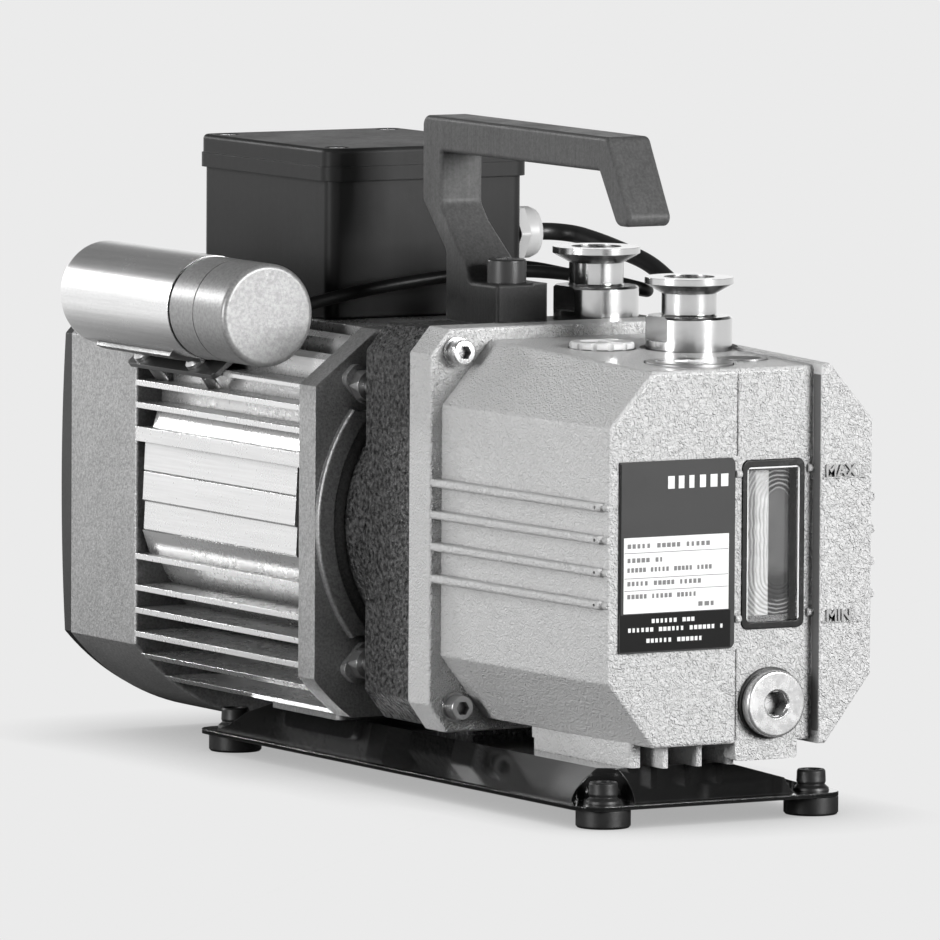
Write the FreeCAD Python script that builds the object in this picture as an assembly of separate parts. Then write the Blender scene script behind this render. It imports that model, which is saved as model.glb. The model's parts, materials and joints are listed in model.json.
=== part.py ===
import FreeCAD, Part
import math
import os

# Oil-sealed rotary vane vacuum pump, two stages, with a single-phase motor on the same shaft line.
# Millimetres. Origin on the floor at the centre of the four feet.
# +X right seen from the sight-glass end, +Y towards the motor, +Z up.

os.makedirs("parts", exist_ok=True)
V = FreeCAD.Vector
PLANES = {"x": lambda t, a, b: V(t, a, b), "y": lambda t, a, b: V(a, t, b), "z": lambda t, a, b: V(a, b, t)}
DIRS = {"x": V(1, 0, 0), "y": V(0, 1, 0), "z": V(0, 0, 1)}

# ---------------------------------------------------------------- driving dimensions
SHAFT_Z = 88.0
CASE_X = 4.6
JOINT_Y = -15.4
FLANGE_T = 14.1
FLANGE_HALF = 56.7
FLANGE_Z = (21.9, 158.7)
CASE_FRONT_Y = -134.0
CASE_HALF = (52.3, 49.2)
CASE_TOP = (154.4, 151.4)
CASE_SIDE_Z = (48.3, 132.9)
CASE_BOTTOM = 26.2
CASE_CUT = (18.6, 16.7)
CASE_CUT_LOW = 17.6
CASE_WALL = 4.0
STEP_X = 34.2
STEP_Y = 5.0
FOOT_FINS = (-17.5, -4.4, 8.0)
PILLAR_X = (4.7, 28.8)
PILLAR_Z = 20.4
RIB_Z = (106.9, 96.1, 85.3, 74.5)
LABEL_X = (-41.0, 3.6)
LABEL_Z = (58.4, 121.9)
GLASS_X = (6.5, 30.9)
GLASS_Z = (64.1, 120.7)
DRAIN = (17.7, 39.4)
EXHAUST = (21.8, -74.5)
INTAKE = (29.5, -1.0)
BALLAST = (-5.9, -64.0)
FILLER = (-2.1, -114.0)
HOUSING_Y = (-15.4, 16.0)
HOUSING_TOP = 157.5
SHIELD_Y = (28.9, 39.9)
FINS_Y = (39.9, 155.4)
REAR_Y = (155.4, 202.2)
COVER_Y = 210.5
COVER_CROWN = 500.0
MOTOR_HALF = 63.5
MOTOR_R = 82.6
MOTOR_TOP = 154.0
MOTOR_FLOOR = 21.4
FIN_Z = (135.0, 127.2, 119.4, 110.8, 66.4, 55.4, 47.4, 39.1, 31.1, 22.7)
BAND_Z = (75.6, 106.7)
CAN = (-72.0, 158.6, 18.0)
CAN_Y = (46.7, 164.5)
BOX_X = (-34.5, 43.0)
BOX_Y = (70.5, 160.5)
BOX_Z = (154.0, 201.7, 213.0)
GLAND = (82.0, 181.0)
HANDLE_X = (-19.5, -3.0)
HANDLE_BOLT = (-11.0, -9.5)
BRACKET_Y = 93.0
BRACKET_HOLES = (18.0, 55.0)
LEAD_IN = (88.0, 169.0)
FOOT_X = 40.5
FOOT_Y = 124.5
FOOT_BORE = 3.3
PLATE_X = (-53.1, 49.1)
PLATE_Y = (-134.5, 132.5)
PLATE_Z = 7.9
SHEET = 1.5
DECK_Z = 18.4
KF_RIM = 15.0
KF_RECESS = 8.6

# pump module
BORE_R = 26.03
ECC = 4.0
ROTOR_R = 22.0
STUB_R = 9.0
RUN = 0.03
MODULE_R = 38.0
MODULE_Z = 86.0
REAR_PLATE = (-27.4, -15.4)
HV = (-59.4, -27.4)
MID_PLATE = (-67.4, -59.4)
FV = (-83.4, -67.4)
FRONT_PLATE = (-93.4, -83.4)
OIL_PUMP = (-103.4, -93.4)
VANE_T = 4.0
VANE_L = 16.0
GEAR_PITCH_R = 7.0
GEAR_TEETH = 14


# ---------------------------------------------------------------- shape helpers
def box(x0, x1, y0, y1, z0, z1):
    return Part.makeBox(x1 - x0, y1 - y0, z1 - z0, V(x0, y0, z0))


def cyl(axis, a, b, r, t0, t1):
    return Part.makeCylinder(r, t1 - t0, PLANES[axis](t0, a, b), DIRS[axis])


def ring(axis, a, b, r_in, r_out, t0, t1):
    return cyl(axis, a, b, r_out, t0, t1).cut(cyl(axis, a, b, r_in, t0, t1))


def cone(axis, a, b, r0, r1, t0, t1):
    return Part.makeCone(r0, r1, t1 - t0, PLANES[axis](t0, a, b), DIRS[axis])


def outline(axis, pts, t, radii=0.0):
    """Closed wire through the points, every corner rounded by its radius."""
    n = len(pts)
    rs = list(radii) if isinstance(radii, (list, tuple)) else [radii] * n
    ends = []
    edges = []
    for i in range(n):
        p = PLANES[axis](t, *pts[i])
        a = PLANES[axis](t, *pts[i - 1]) - p
        b = PLANES[axis](t, *pts[(i + 1) % n]) - p
        a.normalize()
        b.normalize()
        if rs[i] <= 0:
            ends.append((p, p))
            continue
        half = a.getAngle(b) / 2
        reach = rs[i] / math.tan(half)
        mid = a + b
        mid.normalize()
        top = p + mid * (rs[i] / math.sin(half) - rs[i])
        start = p + a * reach
        stop = p + b * reach
        edges.append((i, Part.Arc(start, top, stop).toShape()))
        ends.append((start, stop))
    arcs = dict(edges)
    chain = []
    for i in range(n):
        if i in arcs:
            chain.append(arcs[i])
        chain.append(Part.LineSegment(ends[i][1], ends[(i + 1) % n][0]).toShape())
    return Part.Wire(chain)


def prism(axis, pts, t0, t1, radii=0.0):
    return Part.Face(outline(axis, pts, t0, radii)).extrude(DIRS[axis] * (t1 - t0))


def plate(axis, a0, a1, b0, b1, t0, t1, r):
    return prism(axis, [(a0, b0), (a1, b0), (a1, b1), (a0, b1)], t0, t1, r)


def loft(axis, pts0, t0, pts1, t1):
    return Part.makeLoft([outline(axis, pts0, t0), outline(axis, pts1, t1)], True, True)


def turned(profile, pos, direction=V(0, 0, 1)):
    """Solid of revolution: (radius, height) pairs about the local Z axis, then moved to pos."""
    loop = [V(r, 0, z) for r, z in list(profile) + [profile[0]]]
    face = Part.Face(Part.makePolygon(loop))
    return moved(face.revolve(V(0, 0, 0), V(0, 0, 1), 360), pos, direction)


def moved(shape, pos, direction=V(0, 0, 1)):
    out = shape.copy()
    out.Placement = FreeCAD.Placement(pos, FreeCAD.Rotation(V(0, 0, 1), direction))
    return out


def spun(shape, angle):
    """The shape turned about the pump shaft, degrees."""
    out = shape.copy()
    out.rotate(V(0, 0, SHAFT_Z), V(0, 1, 0), angle)
    return out


def fuse(shapes):
    first = shapes[0]
    return first.fuse(shapes[1:]) if len(shapes) > 1 else first


def cut(shape, tools):
    return shape.cut(tools)


def hexagon(across, a=0.0, b=0.0):
    r = across / math.sqrt(3)
    angles = [math.radians(60 * i) for i in range(6)]
    return [(a + r * math.cos(t), b + r * math.sin(t)) for t in angles]


def softened(shape, radius, keep):
    """Rounds the straight or curved edges that keep(edge) picks."""
    edges = [e for e in shape.Edges if keep(e)]
    return shape.makeFillet(radius, edges) if edges else shape


def on_plane(edge, axis, t):
    lo = getattr(edge.BoundBox, axis.upper() + "Min")
    hi = getattr(edge.BoundBox, axis.upper() + "Max")
    return abs(lo - t) < 0.01 and abs(hi - t) < 0.01


def save(node, shapes):
    solids = []
    for s in shapes if isinstance(shapes, list) else [shapes]:
        solids.extend(s.Solids)
    whole = solids[0] if len(solids) == 1 else Part.makeCompound(solids)
    whole.exportStep("parts/" + node + ".step")


# ---------------------------------------------------------------- fasteners
def socket_screw(pos, direction, d, length, washer=0.0):
    """Socket head cap screw. pos is the point under the head, direction points out of the head."""
    head = cyl("z", 0, 0, 0.83 * d, washer, washer + d)
    head = softened(head, 0.08 * d, lambda e: on_plane(e, "z", washer + d))
    collar = [cyl("z", 0, 0, d, 0, washer)] if washer else []
    socket = prism("z", hexagon(0.86 * d), washer + 0.45 * d, washer + d + 1)
    shank = cyl("z", 0, 0, d / 2, -length, washer)
    return moved(fuse([head, shank] + collar).cut(socket), pos, direction)


def pan_screw(pos, direction, d, length):
    head = turned([(0, 0), (d, 0), (d, 0.35 * d), (0.7 * d, 0.65 * d), (0, 0.7 * d)], V(0, 0, 0))
    arm, half = 0.7 * d, 0.1 * d
    cross = [box(-arm, arm, -half, half, 0.35 * d, d), box(-half, half, -arm, arm, 0.35 * d, d)]
    shank = cyl("z", 0, 0, d / 2, -length, 0)
    return moved(fuse([head, shank]).cut(cross), pos, direction)


def nut(pos, direction, d):
    chamfer = cone("z", 0, 0, 1.02 * d, 0.85 * d, -0.4 * d, 0.85 * d)
    body = prism("z", hexagon(1.7 * d), 0, 0.8 * d).common(chamfer)
    return moved(body, pos, direction)


# ---------------------------------------------------------------- oil case
def case_octagon(half, top, cut_x, grow=0.0):
    left = CASE_X - half - grow
    right = CASE_X + half + grow
    low = CASE_BOTTOM - grow
    k = 0.4 * grow
    return [
        (left, CASE_SIDE_Z[0] - k),
        (left, CASE_SIDE_Z[1] + k),
        (left + cut_x, top + grow),
        (right - cut_x, top + grow),
        (right, CASE_SIDE_Z[1] + k),
        (right, CASE_SIDE_Z[0] - k),
        (right - CASE_CUT_LOW, low),
        (left + CASE_CUT_LOW, low),
    ]


def case_loft(y0, y1, grow):
    """Tapered octagonal body between two stations, grown or shrunk all round."""
    span = CASE_FRONT_Y - (JOINT_Y - FLANGE_T)
    at = [(y - (JOINT_Y - FLANGE_T)) / span for y in (y0, y1)]
    rows = []
    for u in at:
        half = CASE_HALF[0] + u * (CASE_HALF[1] - CASE_HALF[0])
        top = CASE_TOP[0] + u * (CASE_TOP[1] - CASE_TOP[0])
        slant = CASE_CUT[0] + u * (CASE_CUT[1] - CASE_CUT[0])
        rows.append(case_octagon(half, top, slant, grow))
    return loft("y", rows[0], y0, rows[1], y1)


def flange_outline():
    left = CASE_X - FLANGE_HALF
    right = CASE_X + FLANGE_HALF
    lo, hi = FLANGE_Z
    return [
        (left, lo + 9.7), (left, hi - 8.7), (left + 7.6, hi), (right - 7.6, hi),
        (right, hi - 8.7), (right, lo + 9.7), (right - 7.0, lo), (left + 7.0, lo),
    ]


def flange_bolts():
    return [(CASE_X + sx * 47.2, z) for sx in (-1, 1) for z in (30.7, 151.0)]


def side_rib(z, side):
    """Horizontal rib on a side wall; the left one stops at a pinned round end and a nub."""
    y0 = JOINT_Y - FLANGE_T
    outer = FLANGE_HALF
    front = CASE_FRONT_Y + 2.6 if side < 0 else CASE_FRONT_Y - STEP_Y + 0.8
    tip = 51.9 if side < 0 else 52.1
    pts = [(40.0, y0), (outer, y0), (tip, front), (40.0, front)]
    bar = prism("z", [(CASE_X + side * x, y) for x, y in pts], z - 1.4, z + 1.4, [0, 0, 1.4, 0])
    bar = softened(bar, 1.0, lambda e: abs(e.BoundBox.Center.x - CASE_X) > 50.5 and e.BoundBox.ZLength < 0.01)
    if side > 0:
        return bar
    x = CASE_X - CASE_HALF[1]
    nub = cyl("y", x - 0.2, z, 1.2, CASE_FRONT_Y - 0.4, front + 0.5)
    return fuse([bar.cut(cyl("x", front + 2.4, z, 0.55, x - 4.0, x - 1.2)), nub])


def oil_case():
    y_flange = JOINT_Y - FLANGE_T
    body = case_loft(y_flange, CASE_FRONT_Y, 0.0)
    body = softened(body, 1.6, lambda e: on_plane(e, "y", CASE_FRONT_Y) or e.BoundBox.YLength > 90)
    raised = case_loft(y_flange, CASE_FRONT_Y - STEP_Y, 0.9)
    raised = raised.common(box(STEP_X, 80, CASE_FRONT_Y - STEP_Y, y_flange, 0, 200))
    raised = softened(raised, 0.9, lambda e: on_plane(e, "y", CASE_FRONT_Y - STEP_Y))
    flange = prism("y", flange_outline(), y_flange, JOINT_Y, 1.0)
    flange = softened(flange, 1.0, lambda e: on_plane(e, "y", y_flange))
    rounds = [1.5, 1.5, 0, 0]
    pillar = plate("y", PILLAR_X[0], PILLAR_X[1], PILLAR_Z, 60.0, CASE_FRONT_Y, CASE_FRONT_Y + 7.0, rounds)
    ribs = [side_rib(z, side) for z in RIB_Z for side in (-1, 1)]
    foot = [plate("z", -28.0, -23.4, -121.0, -57.0, DECK_Z, 30.0, 2.0)]
    foot += [plate("z", x - 1.2, x + 1.2, -126.5, -57.0, DECK_Z, 30.0, 1.1) for x in FOOT_FINS]
    foot.append(box(-28.0, 8.0, -112.0, -57.0, 22.4, 30.0))
    foot += [cyl("z", -14.5, y, 6.5, DECK_Z, 30.0) for y in (-104.0, -76.0)]
    case = fuse([body, raised, flange, pillar] + ribs + foot)
    inside = case_loft(JOINT_Y, CASE_FRONT_Y + 6.0, -CASE_WALL)
    gx0, gx1 = GLASS_X
    gz0, gz1 = GLASS_Z
    tools = [
        inside,
        plate("y", gx0, gx1, gz0, gz1, CASE_FRONT_Y - 1, CASE_FRONT_Y + 4.2, 2.6),
        plate("y", gx0 + 3, gx1 - 3, gz0 + 4, gz1 - 4, CASE_FRONT_Y, CASE_FRONT_Y + 8, 2.0),
        cyl("y", DRAIN[0], DRAIN[1], 7.0, CASE_FRONT_Y - 1, CASE_FRONT_Y + 9),
        cyl("z", EXHAUST[0], EXHAUST[1], 8.0, 140.0, 160.0),
        cyl("z", EXHAUST[0], EXHAUST[1], 16.6, 152.6, 162.0),
        cyl("z", FILLER[0], FILLER[1], 10.0, 140.0, 160.0),
        cyl("z", FILLER[0], FILLER[1], 15.2, 151.0, 160.0),
        ring("z", BALLAST[0], BALLAST[1], 8.0, 11.6, 151.6, 160.0),
        cyl("z", BALLAST[0], BALLAST[1], 9.0, 153.05, 160.0),
        cyl("z", BALLAST[0], BALLAST[1], 2.54, 140.0, 160.0),
        cyl("z", 22.2, -108.6, 8.6, 150.6, 160.0),
    ]
    tools.append(cyl("z", INTAKE[0], INTAKE[1], 14.65, HOUSING_TOP - 0.1, 170.0))
    tools += [cyl("y", x, z, 2.75, y_flange - 1, JOINT_Y + 1) for x, z in flange_bolts()]
    tools += [cyl("z", -14.5, y, 3.0, DECK_Z - 1, 25.0) for y in (-104.0, -76.0)]
    case = cut(case, tools)
    marks = []
    for z in (117.2, 69.0):
        y = CASE_FRONT_Y - STEP_Y
        marks.append(cyl("x", CASE_FRONT_Y - 0.4, z, 1.3, GLASS_X[1] + 1.2, STEP_X + 1))
        marks.append(box(STEP_X + 1.0, 52.0, y - 0.5, y + 0.5, z - 3.4, z - 2.9))
        marks.append(cyl("x", CASE_FRONT_Y - 0.2, z - 1.0, 1.2, GLASS_X[0] - 2.4, GLASS_X[0] - 0.4))
    return cut(fuse([case] + marks), [cyl("y", DRAIN[0], DRAIN[1], 7.0, CASE_FRONT_Y - 1, CASE_FRONT_Y + 9)])


def case_screws():
    y = JOINT_Y - FLANGE_T
    return [socket_screw(V(x, y, z), V(0, -1, 0), 5.0, 22.0, 1.3) for x, z in flange_bolts()]


# ---------------------------------------------------------------- fittings on the oil case
def sight_glass_frame():
    gx0, gx1 = GLASS_X
    gz0, gz1 = GLASS_Z
    y = CASE_FRONT_Y
    frame = plate("y", gx0 + 0.2, gx1 - 0.2, gz0 + 0.2, gz1 - 0.2, y - 0.6, y + 1.6, 2.4)
    window = plate("y", gx0 + 1.9, gx1 - 1.9, gz0 + 2.4, gz1 - 2.4, y - 1, y + 2, 1.6)
    return frame.cut(window)


def sight_glass():
    gx0, gx1 = GLASS_X
    gz0, gz1 = GLASS_Z
    y = CASE_FRONT_Y
    back = plate("y", gx0 + 0.4, gx1 - 0.4, gz0 + 0.4, gz1 - 0.4, y + 1.6, y + 4.2, 2.2)
    front = plate("y", gx0 + 2.1, gx1 - 2.1, gz0 + 2.6, gz1 - 2.6, y + 0.2, y + 1.6, 1.4)
    return fuse([back, front])


def rating_plate():
    y = CASE_FRONT_Y
    return plate("y", LABEL_X[0], LABEL_X[1], LABEL_Z[0], LABEL_Z[1], y - 0.7, y, [0.6, 2.2, 2.2, 0.6])


def drain_plug():
    y = CASE_FRONT_Y
    disc = cyl("y", DRAIN[0], DRAIN[1], 11.2, y - 5.2, y - 1.4)
    disc = softened(disc, 0.9, lambda e: on_plane(e, "y", y - 5.2))
    shank = cyl("y", DRAIN[0], DRAIN[1], 6.9, y - 1.4, y + 5.6)
    socket = prism("y", hexagon(8.0, DRAIN[0], DRAIN[1]), y - 6, y + 1.0)
    lead = cone("y", DRAIN[0], DRAIN[1], 4.9, 4.3, y - 5.2, y - 4.4)
    return fuse([disc, shank]).cut([socket, lead])


def drain_plug_seal():
    y = CASE_FRONT_Y
    return ring("y", DRAIN[0], DRAIN[1], 7.0, 12.0, y - 1.4, y)


def filler_plug():
    top = cyl("z", FILLER[0], FILLER[1], 14.6, 151.0, 152.6)
    top = softened(top, 0.5, lambda e: on_plane(e, "z", 152.6))
    shank = cyl("z", FILLER[0], FILLER[1], 9.9, 144.0, 151.0)
    tools = [prism("z", hexagon(10.0, FILLER[0], FILLER[1]), 149.0, 155.0)]
    for i in range(3):
        a = math.radians(30 + 120 * i)
        tools.append(cyl("z", FILLER[0] + 10 * math.cos(a), FILLER[1] + 10 * math.sin(a), 1.8, 151.9, 155.0))
    return fuse([top, shank]).cut(tools)


def ballast_knob():
    x, y = BALLAST
    profile = [
        (0, 153.1), (10.4, 153.1), (10.9, 153.5), (10.9, 155.1),
        (10.3, 155.7), (7.4, 155.7), (6.6, 154.9), (0, 154.9),
    ]
    knob = turned(profile, V(x, y, 0))
    stem = cyl("z", x, y, 2.5, 145.0, 153.2)
    angles = [math.radians(30 * i + 15) for i in range(12)]
    grips = [cyl("z", x + 11.3 * math.cos(a), y + 11.3 * math.sin(a), 1.1, 153, 158) for a in angles]
    pointer = box(x - 1.0, x + 1.0, y - 6.0, y + 1.0, 154.7, 155.7)
    return fuse([knob.cut(grips), stem, pointer])


def top_plug():
    """Closing plug of the oil gallery in the case top."""
    plug = cyl("z", 22.2, -108.6, 8.2, 150.6, 152.4)
    socket = prism("z", hexagon(5.0, 22.2, -108.6), 151.2, 153.0)
    dish = cone("z", 22.2, -108.6, 5.5, 6.6, 151.7, 152.5)
    return plug.cut([socket, dish])


def kf_port(x, y, z0, height):
    """Small-flange port: standard rim with tapered back, turned neck, base with wrench flats."""
    top = z0 + height
    base = 11.6
    profile = [
        (6.6, z0 - 6.0), (7.8, z0 - 6.0), (7.8, z0), (14.6, z0), (14.6, z0 + base - 0.8), (13.8, z0 + base),
        (9.6, z0 + base), (9.3, z0 + base + 0.6), (9.3, top - 5.4), (10.4, top - 4.8),
        (KF_RIM, top - 2.2), (KF_RIM, top),
        (KF_RECESS, top), (KF_RECESS, top - 2.6), (6.6, top - 2.6),
    ]
    port = turned(profile, V(x, y, 0))
    flats = [box(x - 20, x - 12.8, y - 20, y + 20, z0 + 3.4, z0 + base + 1)]
    flats.append(box(x + 12.8, x + 20, y - 20, y + 20, z0 + 3.4, z0 + base + 1))
    return port.cut(flats)


def exhaust_filter():
    """Mesh demister under the exhaust port, held in the case roof."""
    x, y = EXHAUST
    body = cyl("z", x, y, 13.4, 129.6, 147.2)
    slots = [box(x - 20, x + 20, y - 0.7 + 3.0 * i, y + 0.7 + 3.0 * i, 131.0, 145.0) for i in range(-3, 4)]
    return body.cut([cyl("z", x, y, 7.85, 131.0, 148.0)] + slots)


# ---------------------------------------------------------------- coupling housing
def housing_outline(grow=0.0):
    left = CASE_X - FLANGE_HALF + 0.6 - grow
    right = CASE_X + FLANGE_HALF - 0.6 + grow
    return [
        (left, 32.5), (left, 148.5), (left + 8.0, HOUSING_TOP), (right - 8.0, HOUSING_TOP),
        (right, 148.5), (right, 32.5), (right - 8.0, 22.6), (left + 8.0, 22.6),
    ]


def stud_places():
    return [(sx * 46.0, SHAFT_Z + sz * 47.5) for sx in (-1, 1) for sz in (-1, 1)]


def coupling_housing():
    y0, y1 = HOUSING_Y
    body = prism("y", housing_outline(), y0, y1, 2.0)
    body = softened(body, 1.2, lambda e: on_plane(e, "y", y1))
    spigot = cyl("y", 0, SHAFT_Z, 52.0, y1 - 1, SHIELD_Y[0])
    stand = plate("z", -26.0, 13.0, -13.0, 13.0, DECK_Z, 24.0, 3.0)
    ix, iy = INTAKE
    tools = [
        cyl("y", 0, SHAFT_Z, 45.0, 10.5, SHIELD_Y[0] + 1),
        cyl("y", 0, SHAFT_Z, 24.0, 7.0, 11.0),
        cyl("y", 0, SHAFT_Z, STUB_R + 0.4, y0 - 1, 9.0),
        cyl("y", 0, SHAFT_Z, 18.0, 0.0, 9.0),
        cyl("z", ix, iy, 8.0, 118.0, 132.2),
        cyl("z", ix, iy, 5.0, 132.0, 136.2),
        cyl("z", ix, iy, 8.0, 136.0, HOUSING_TOP + 1),
        cyl("z", ix, iy, 2.0 + RUN, 106.0, 119.0),
        cyl("y", 18.0, 112.0, 5.0, y0 - 1, 2.0),
        box(13.0, 32.0, -5.0, 3.0, 118.5, 124.0),
        box(13.5, 22.5, -5.0, 2.0, 112.0, 124.0),
    ]
    tools.append(cyl("z", HANDLE_BOLT[0], HANDLE_BOLT[1], 4.02, 142.0, HOUSING_TOP + 1))
    tools += [cyl("y", x, z, 2.52, y0 - 1, y0 + 12.0) for x, z in flange_bolts()]
    tools += [cyl("y", x, z, 3.02, y0 - 1, y0 + 11.0) for x, z in module_bolts()]
    tools += [cyl("y", x, z, 3.02, 6.0, y1 + 1) for x, z in stud_places()]
    tools += [cyl("z", -4.0, y, 3.02, DECK_Z - 1, 34.0) for y in (-8.0, 8.0)]
    return cut(fuse([body, spigot, stand]), tools)


def shaft_seal():
    shell = ring("y", 0, SHAFT_Z, 15.5, 18.0, 0.0, 7.0)
    web = ring("y", 0, SHAFT_Z, 11.0, 15.5, 0.0, 1.6)
    lip = ring("y", 0, SHAFT_Z, STUB_R + 0.03, 11.0, 0.0, 5.0)
    return fuse([shell, web, lip])


def clamp_bolts():
    """Studs with their nuts, holding the motor shield to the housing."""
    out = []
    for x, z in stud_places():
        stud = cyl("y", x, z, 3.0, 6.0, SHIELD_Y[0] + 9.0)
        out.append(fuse([stud, nut(V(x, SHIELD_Y[0] - 2.6, z), V(0, -1, 0), 6.0)]))
    return out


def clamp_lugs():
    """Cast claws under the nuts, part of the motor shield."""
    out = []
    for x, z in stud_places():
        a = math.degrees(math.atan2(z - SHAFT_Z, x))
        lug = plate("y", -7.0, 7.5, -4.6, 4.6, SHIELD_Y[0] - 2.6, SHIELD_Y[0], 3.6)
        lug.rotate(V(0, 0, 0), V(0, 1, 0), -a)
        lug.translate(V(x, 0, z))
        out.append(lug.cut(cyl("y", x, z, 3.1, 20, 40)))
    return out


# ---------------------------------------------------------------- pump module
def module_bolts():
    r = 33.0 / math.sqrt(2)
    return [(sx * r, MODULE_Z + sz * r) for sx in (-1, 1) for sz in (-1, 1)]


def module_disc(y0, y1):
    disc = cyl("y", 0, MODULE_Z, MODULE_R, y0, y1)
    disc = disc.cut(box(-22, 22, y0 - 1, y1 + 1, 119.0, 130.0))
    return disc.cut([cyl("y", x, z, 3.1, y0 - 1, y1 + 1) for x, z in module_bolts()])


def end_plate(y0, y1):
    return module_disc(y0, y1).cut(cyl("y", 0, SHAFT_Z, STUB_R + RUN, y0 - 1, y1 + 1))


def rear_plate():
    return end_plate(*REAR_PLATE).cut([cyl("y", 18.0, 112.0, 4.5, REAR_PLATE[0] + 6, REAR_PLATE[1] + 1)])


def stator(y0, y1):
    body = module_disc(y0, y1).cut(cyl("y", 0, SHAFT_Z - ECC, BORE_R, y0 - 1, y1 + 1))
    mid = (y0 + y1) / 2
    ports = [cyl("z", 10.0, y, 2.4, 100.0, 125.0) for y in (mid - (y1 - y0) / 4, mid + (y1 - y0) / 4)]
    return body.cut(ports)


def rotor_drum(y0, y1):
    """Vane rotor with its cross slot, kept just clear of the end plates."""
    drum = cyl("y", 0, SHAFT_Z, ROTOR_R, y0 + 0.04, y1 - 0.04)
    slot = box(-30, 30, y0, y1, SHAFT_Z - VANE_T / 2 - 0.03, SHAFT_Z + VANE_T / 2 + 0.03)
    wells = [cyl("y", sx * 13.0, SHAFT_Z + sz * 8.0, 2.6, y0, y1) for sx in (-1, 1) for sz in (-1, 1)]
    return drum.cut([slot] + wells)


def pump_rotor():
    """One shaft: coupling seat, two vane drums and the oil pump seat."""
    tail = cyl("y", 0, SHAFT_Z, STUB_R, HV[1] - 0.04, 17.6)
    mid = cyl("y", 0, SHAFT_Z, STUB_R, FV[1] - 0.04, HV[0] + 0.04)
    nose = cyl("y", 0, SHAFT_Z, STUB_R, FRONT_PLATE[0], FV[0] + 0.04)
    pin = cyl("y", 0, SHAFT_Z, 4.0, OIL_PUMP[0] + 3.0, FRONT_PLATE[0])
    return fuse([tail, rotor_drum(*HV), mid, rotor_drum(*FV), nose, pin, oil_gear(False)])


def vane(y0, y1, side):
    tip = side * (ROTOR_R - 0.05)
    root = side * (ROTOR_R - VANE_L)
    lo, hi = min(tip, root), max(tip, root)
    blade = box(lo, hi, y0 + 0.08, y1 - 0.08, SHAFT_Z - VANE_T / 2, SHAFT_Z + VANE_T / 2)
    return softened(blade, 1.2, lambda e: abs(e.BoundBox.XMin - tip) < 0.01 and e.BoundBox.YLength > 5)


def valve_flap(y0, y1):
    """Spring strip with a rolled edge about its hinge line."""
    strip = box(-3.4, 16.0, y0 + 3.0, y1 - 3.0, 119.02, 119.5)
    return fuse([strip, cyl("y", -3.4, 119.52, 0.5, y0 + 3.0, y1 - 3.0)])


def valve_stop(y0, y1):
    """Curved stop over each exhaust flap, clamped beside its root."""
    pts = [(-14, 119.0), (-4.0, 119.0), (-4.0, 120.3), (17, 125.4), (17, 127.2), (-4, 122.2), (-14, 122.2)]
    return prism("y", pts, y0 + 3.0, y1 - 3.0)


def tie_screws():
    length = FRONT_PLATE[1] - FRONT_PLATE[0] + 78.0
    return [socket_screw(V(x, FRONT_PLATE[0], z), V(0, -1, 0), 6.0, length, 0.0) for x, z in module_bolts()]


def gear(x, z, y0, y1, bore, phase):
    """Straight-toothed oil pump gear with rounded teeth."""
    teeth = []
    module = 2 * GEAR_PITCH_R / GEAR_TEETH
    root = GEAR_PITCH_R - 1.15 * module
    tip = GEAR_PITCH_R + 0.8 * module
    pitch = GEAR_PITCH_R
    flank = [(root, -0.31), (pitch, -0.215), (tip, -0.09), (tip, 0.09), (pitch, 0.215), (root, 0.31)]
    for i in range(GEAR_TEETH):
        a = math.radians(360.0 / GEAR_TEETH * i + phase)
        step = math.radians(360.0 / GEAR_TEETH)
        for r, da in flank:
            teeth.append((x + r * math.cos(a + da * step), z + r * math.sin(a + da * step)))
    return prism("y", teeth, y0, y1).cut(cyl("y", x, z, bore, y0 - 1, y1 + 1))


def oil_gear(driven):
    y0, y1 = OIL_PUMP[1] - 5.95, OIL_PUMP[1] - 0.05
    if driven:
        return gear(2 * GEAR_PITCH_R, SHAFT_Z, y0, y1, 3.0 + RUN, 180.0 / GEAR_TEETH)
    return gear(0.0, SHAFT_Z, y0, y1, 3.0, 0.0)


def oil_pump_cover():
    y0, y1 = OIL_PUMP
    cover = plate("y", -15.0, 29.0, SHAFT_Z - 14.0, SHAFT_Z + 14.0, y0, y1, 6.0)
    tools = [cyl("y", x, SHAFT_Z, GEAR_PITCH_R + 1.1, y1 - 6.1, y1 + 1) for x in (0.0, 2 * GEAR_PITCH_R)]
    tools.append(cyl("y", 0, SHAFT_Z, 4.0 + RUN, y0 + 2.9, y1))
    tools += [cyl("y", x, z, 4.0, y0 - 1, y0 + 3.0) for x, z in oil_pump_bolts()]
    pin = cyl("y", 2 * GEAR_PITCH_R, SHAFT_Z, 3.0, y0 + 3.0, y1)
    return fuse([cut(cover, tools), pin])


def oil_pump_bolts():
    return [(x, SHAFT_Z + s * 10.6) for x in (-10.6, 24.6) for s in (-1, 1)]


def suction_valve():
    """Anti-suckback disc that closes the intake duct when the pump stops."""
    x, y = INTAKE
    profile = [(0, 108.0), (2.0, 108.0), (2.0, 126.0), (6.6, 126.0), (7.4, 126.8), (7.4, 129.0), (0, 129.0)]
    return turned(profile, V(x, y, 0))


# ---------------------------------------------------------------- shaft coupling
def sector(r0, r1, y0, y1, start, sweep):
    pts = []
    for i in range(9):
        a = math.radians(start + sweep * i / 8)
        pts.append((r1 * math.cos(a), SHAFT_Z + r1 * math.sin(a)))
    for i in range(9):
        a = math.radians(start + sweep * (8 - i) / 8)
        pts.append((r0 * math.cos(a), SHAFT_Z + r0 * math.sin(a)))
    return prism("y", pts, y0, y1)


def pump_hub():
    hub = ring("y", 0, SHAFT_Z, STUB_R, 20.0, 9.6, 17.6)
    return fuse([hub] + [sector(10.5, 20.0, 17.5, 24.6, 120 * i - 17, 34) for i in range(3)])


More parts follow.
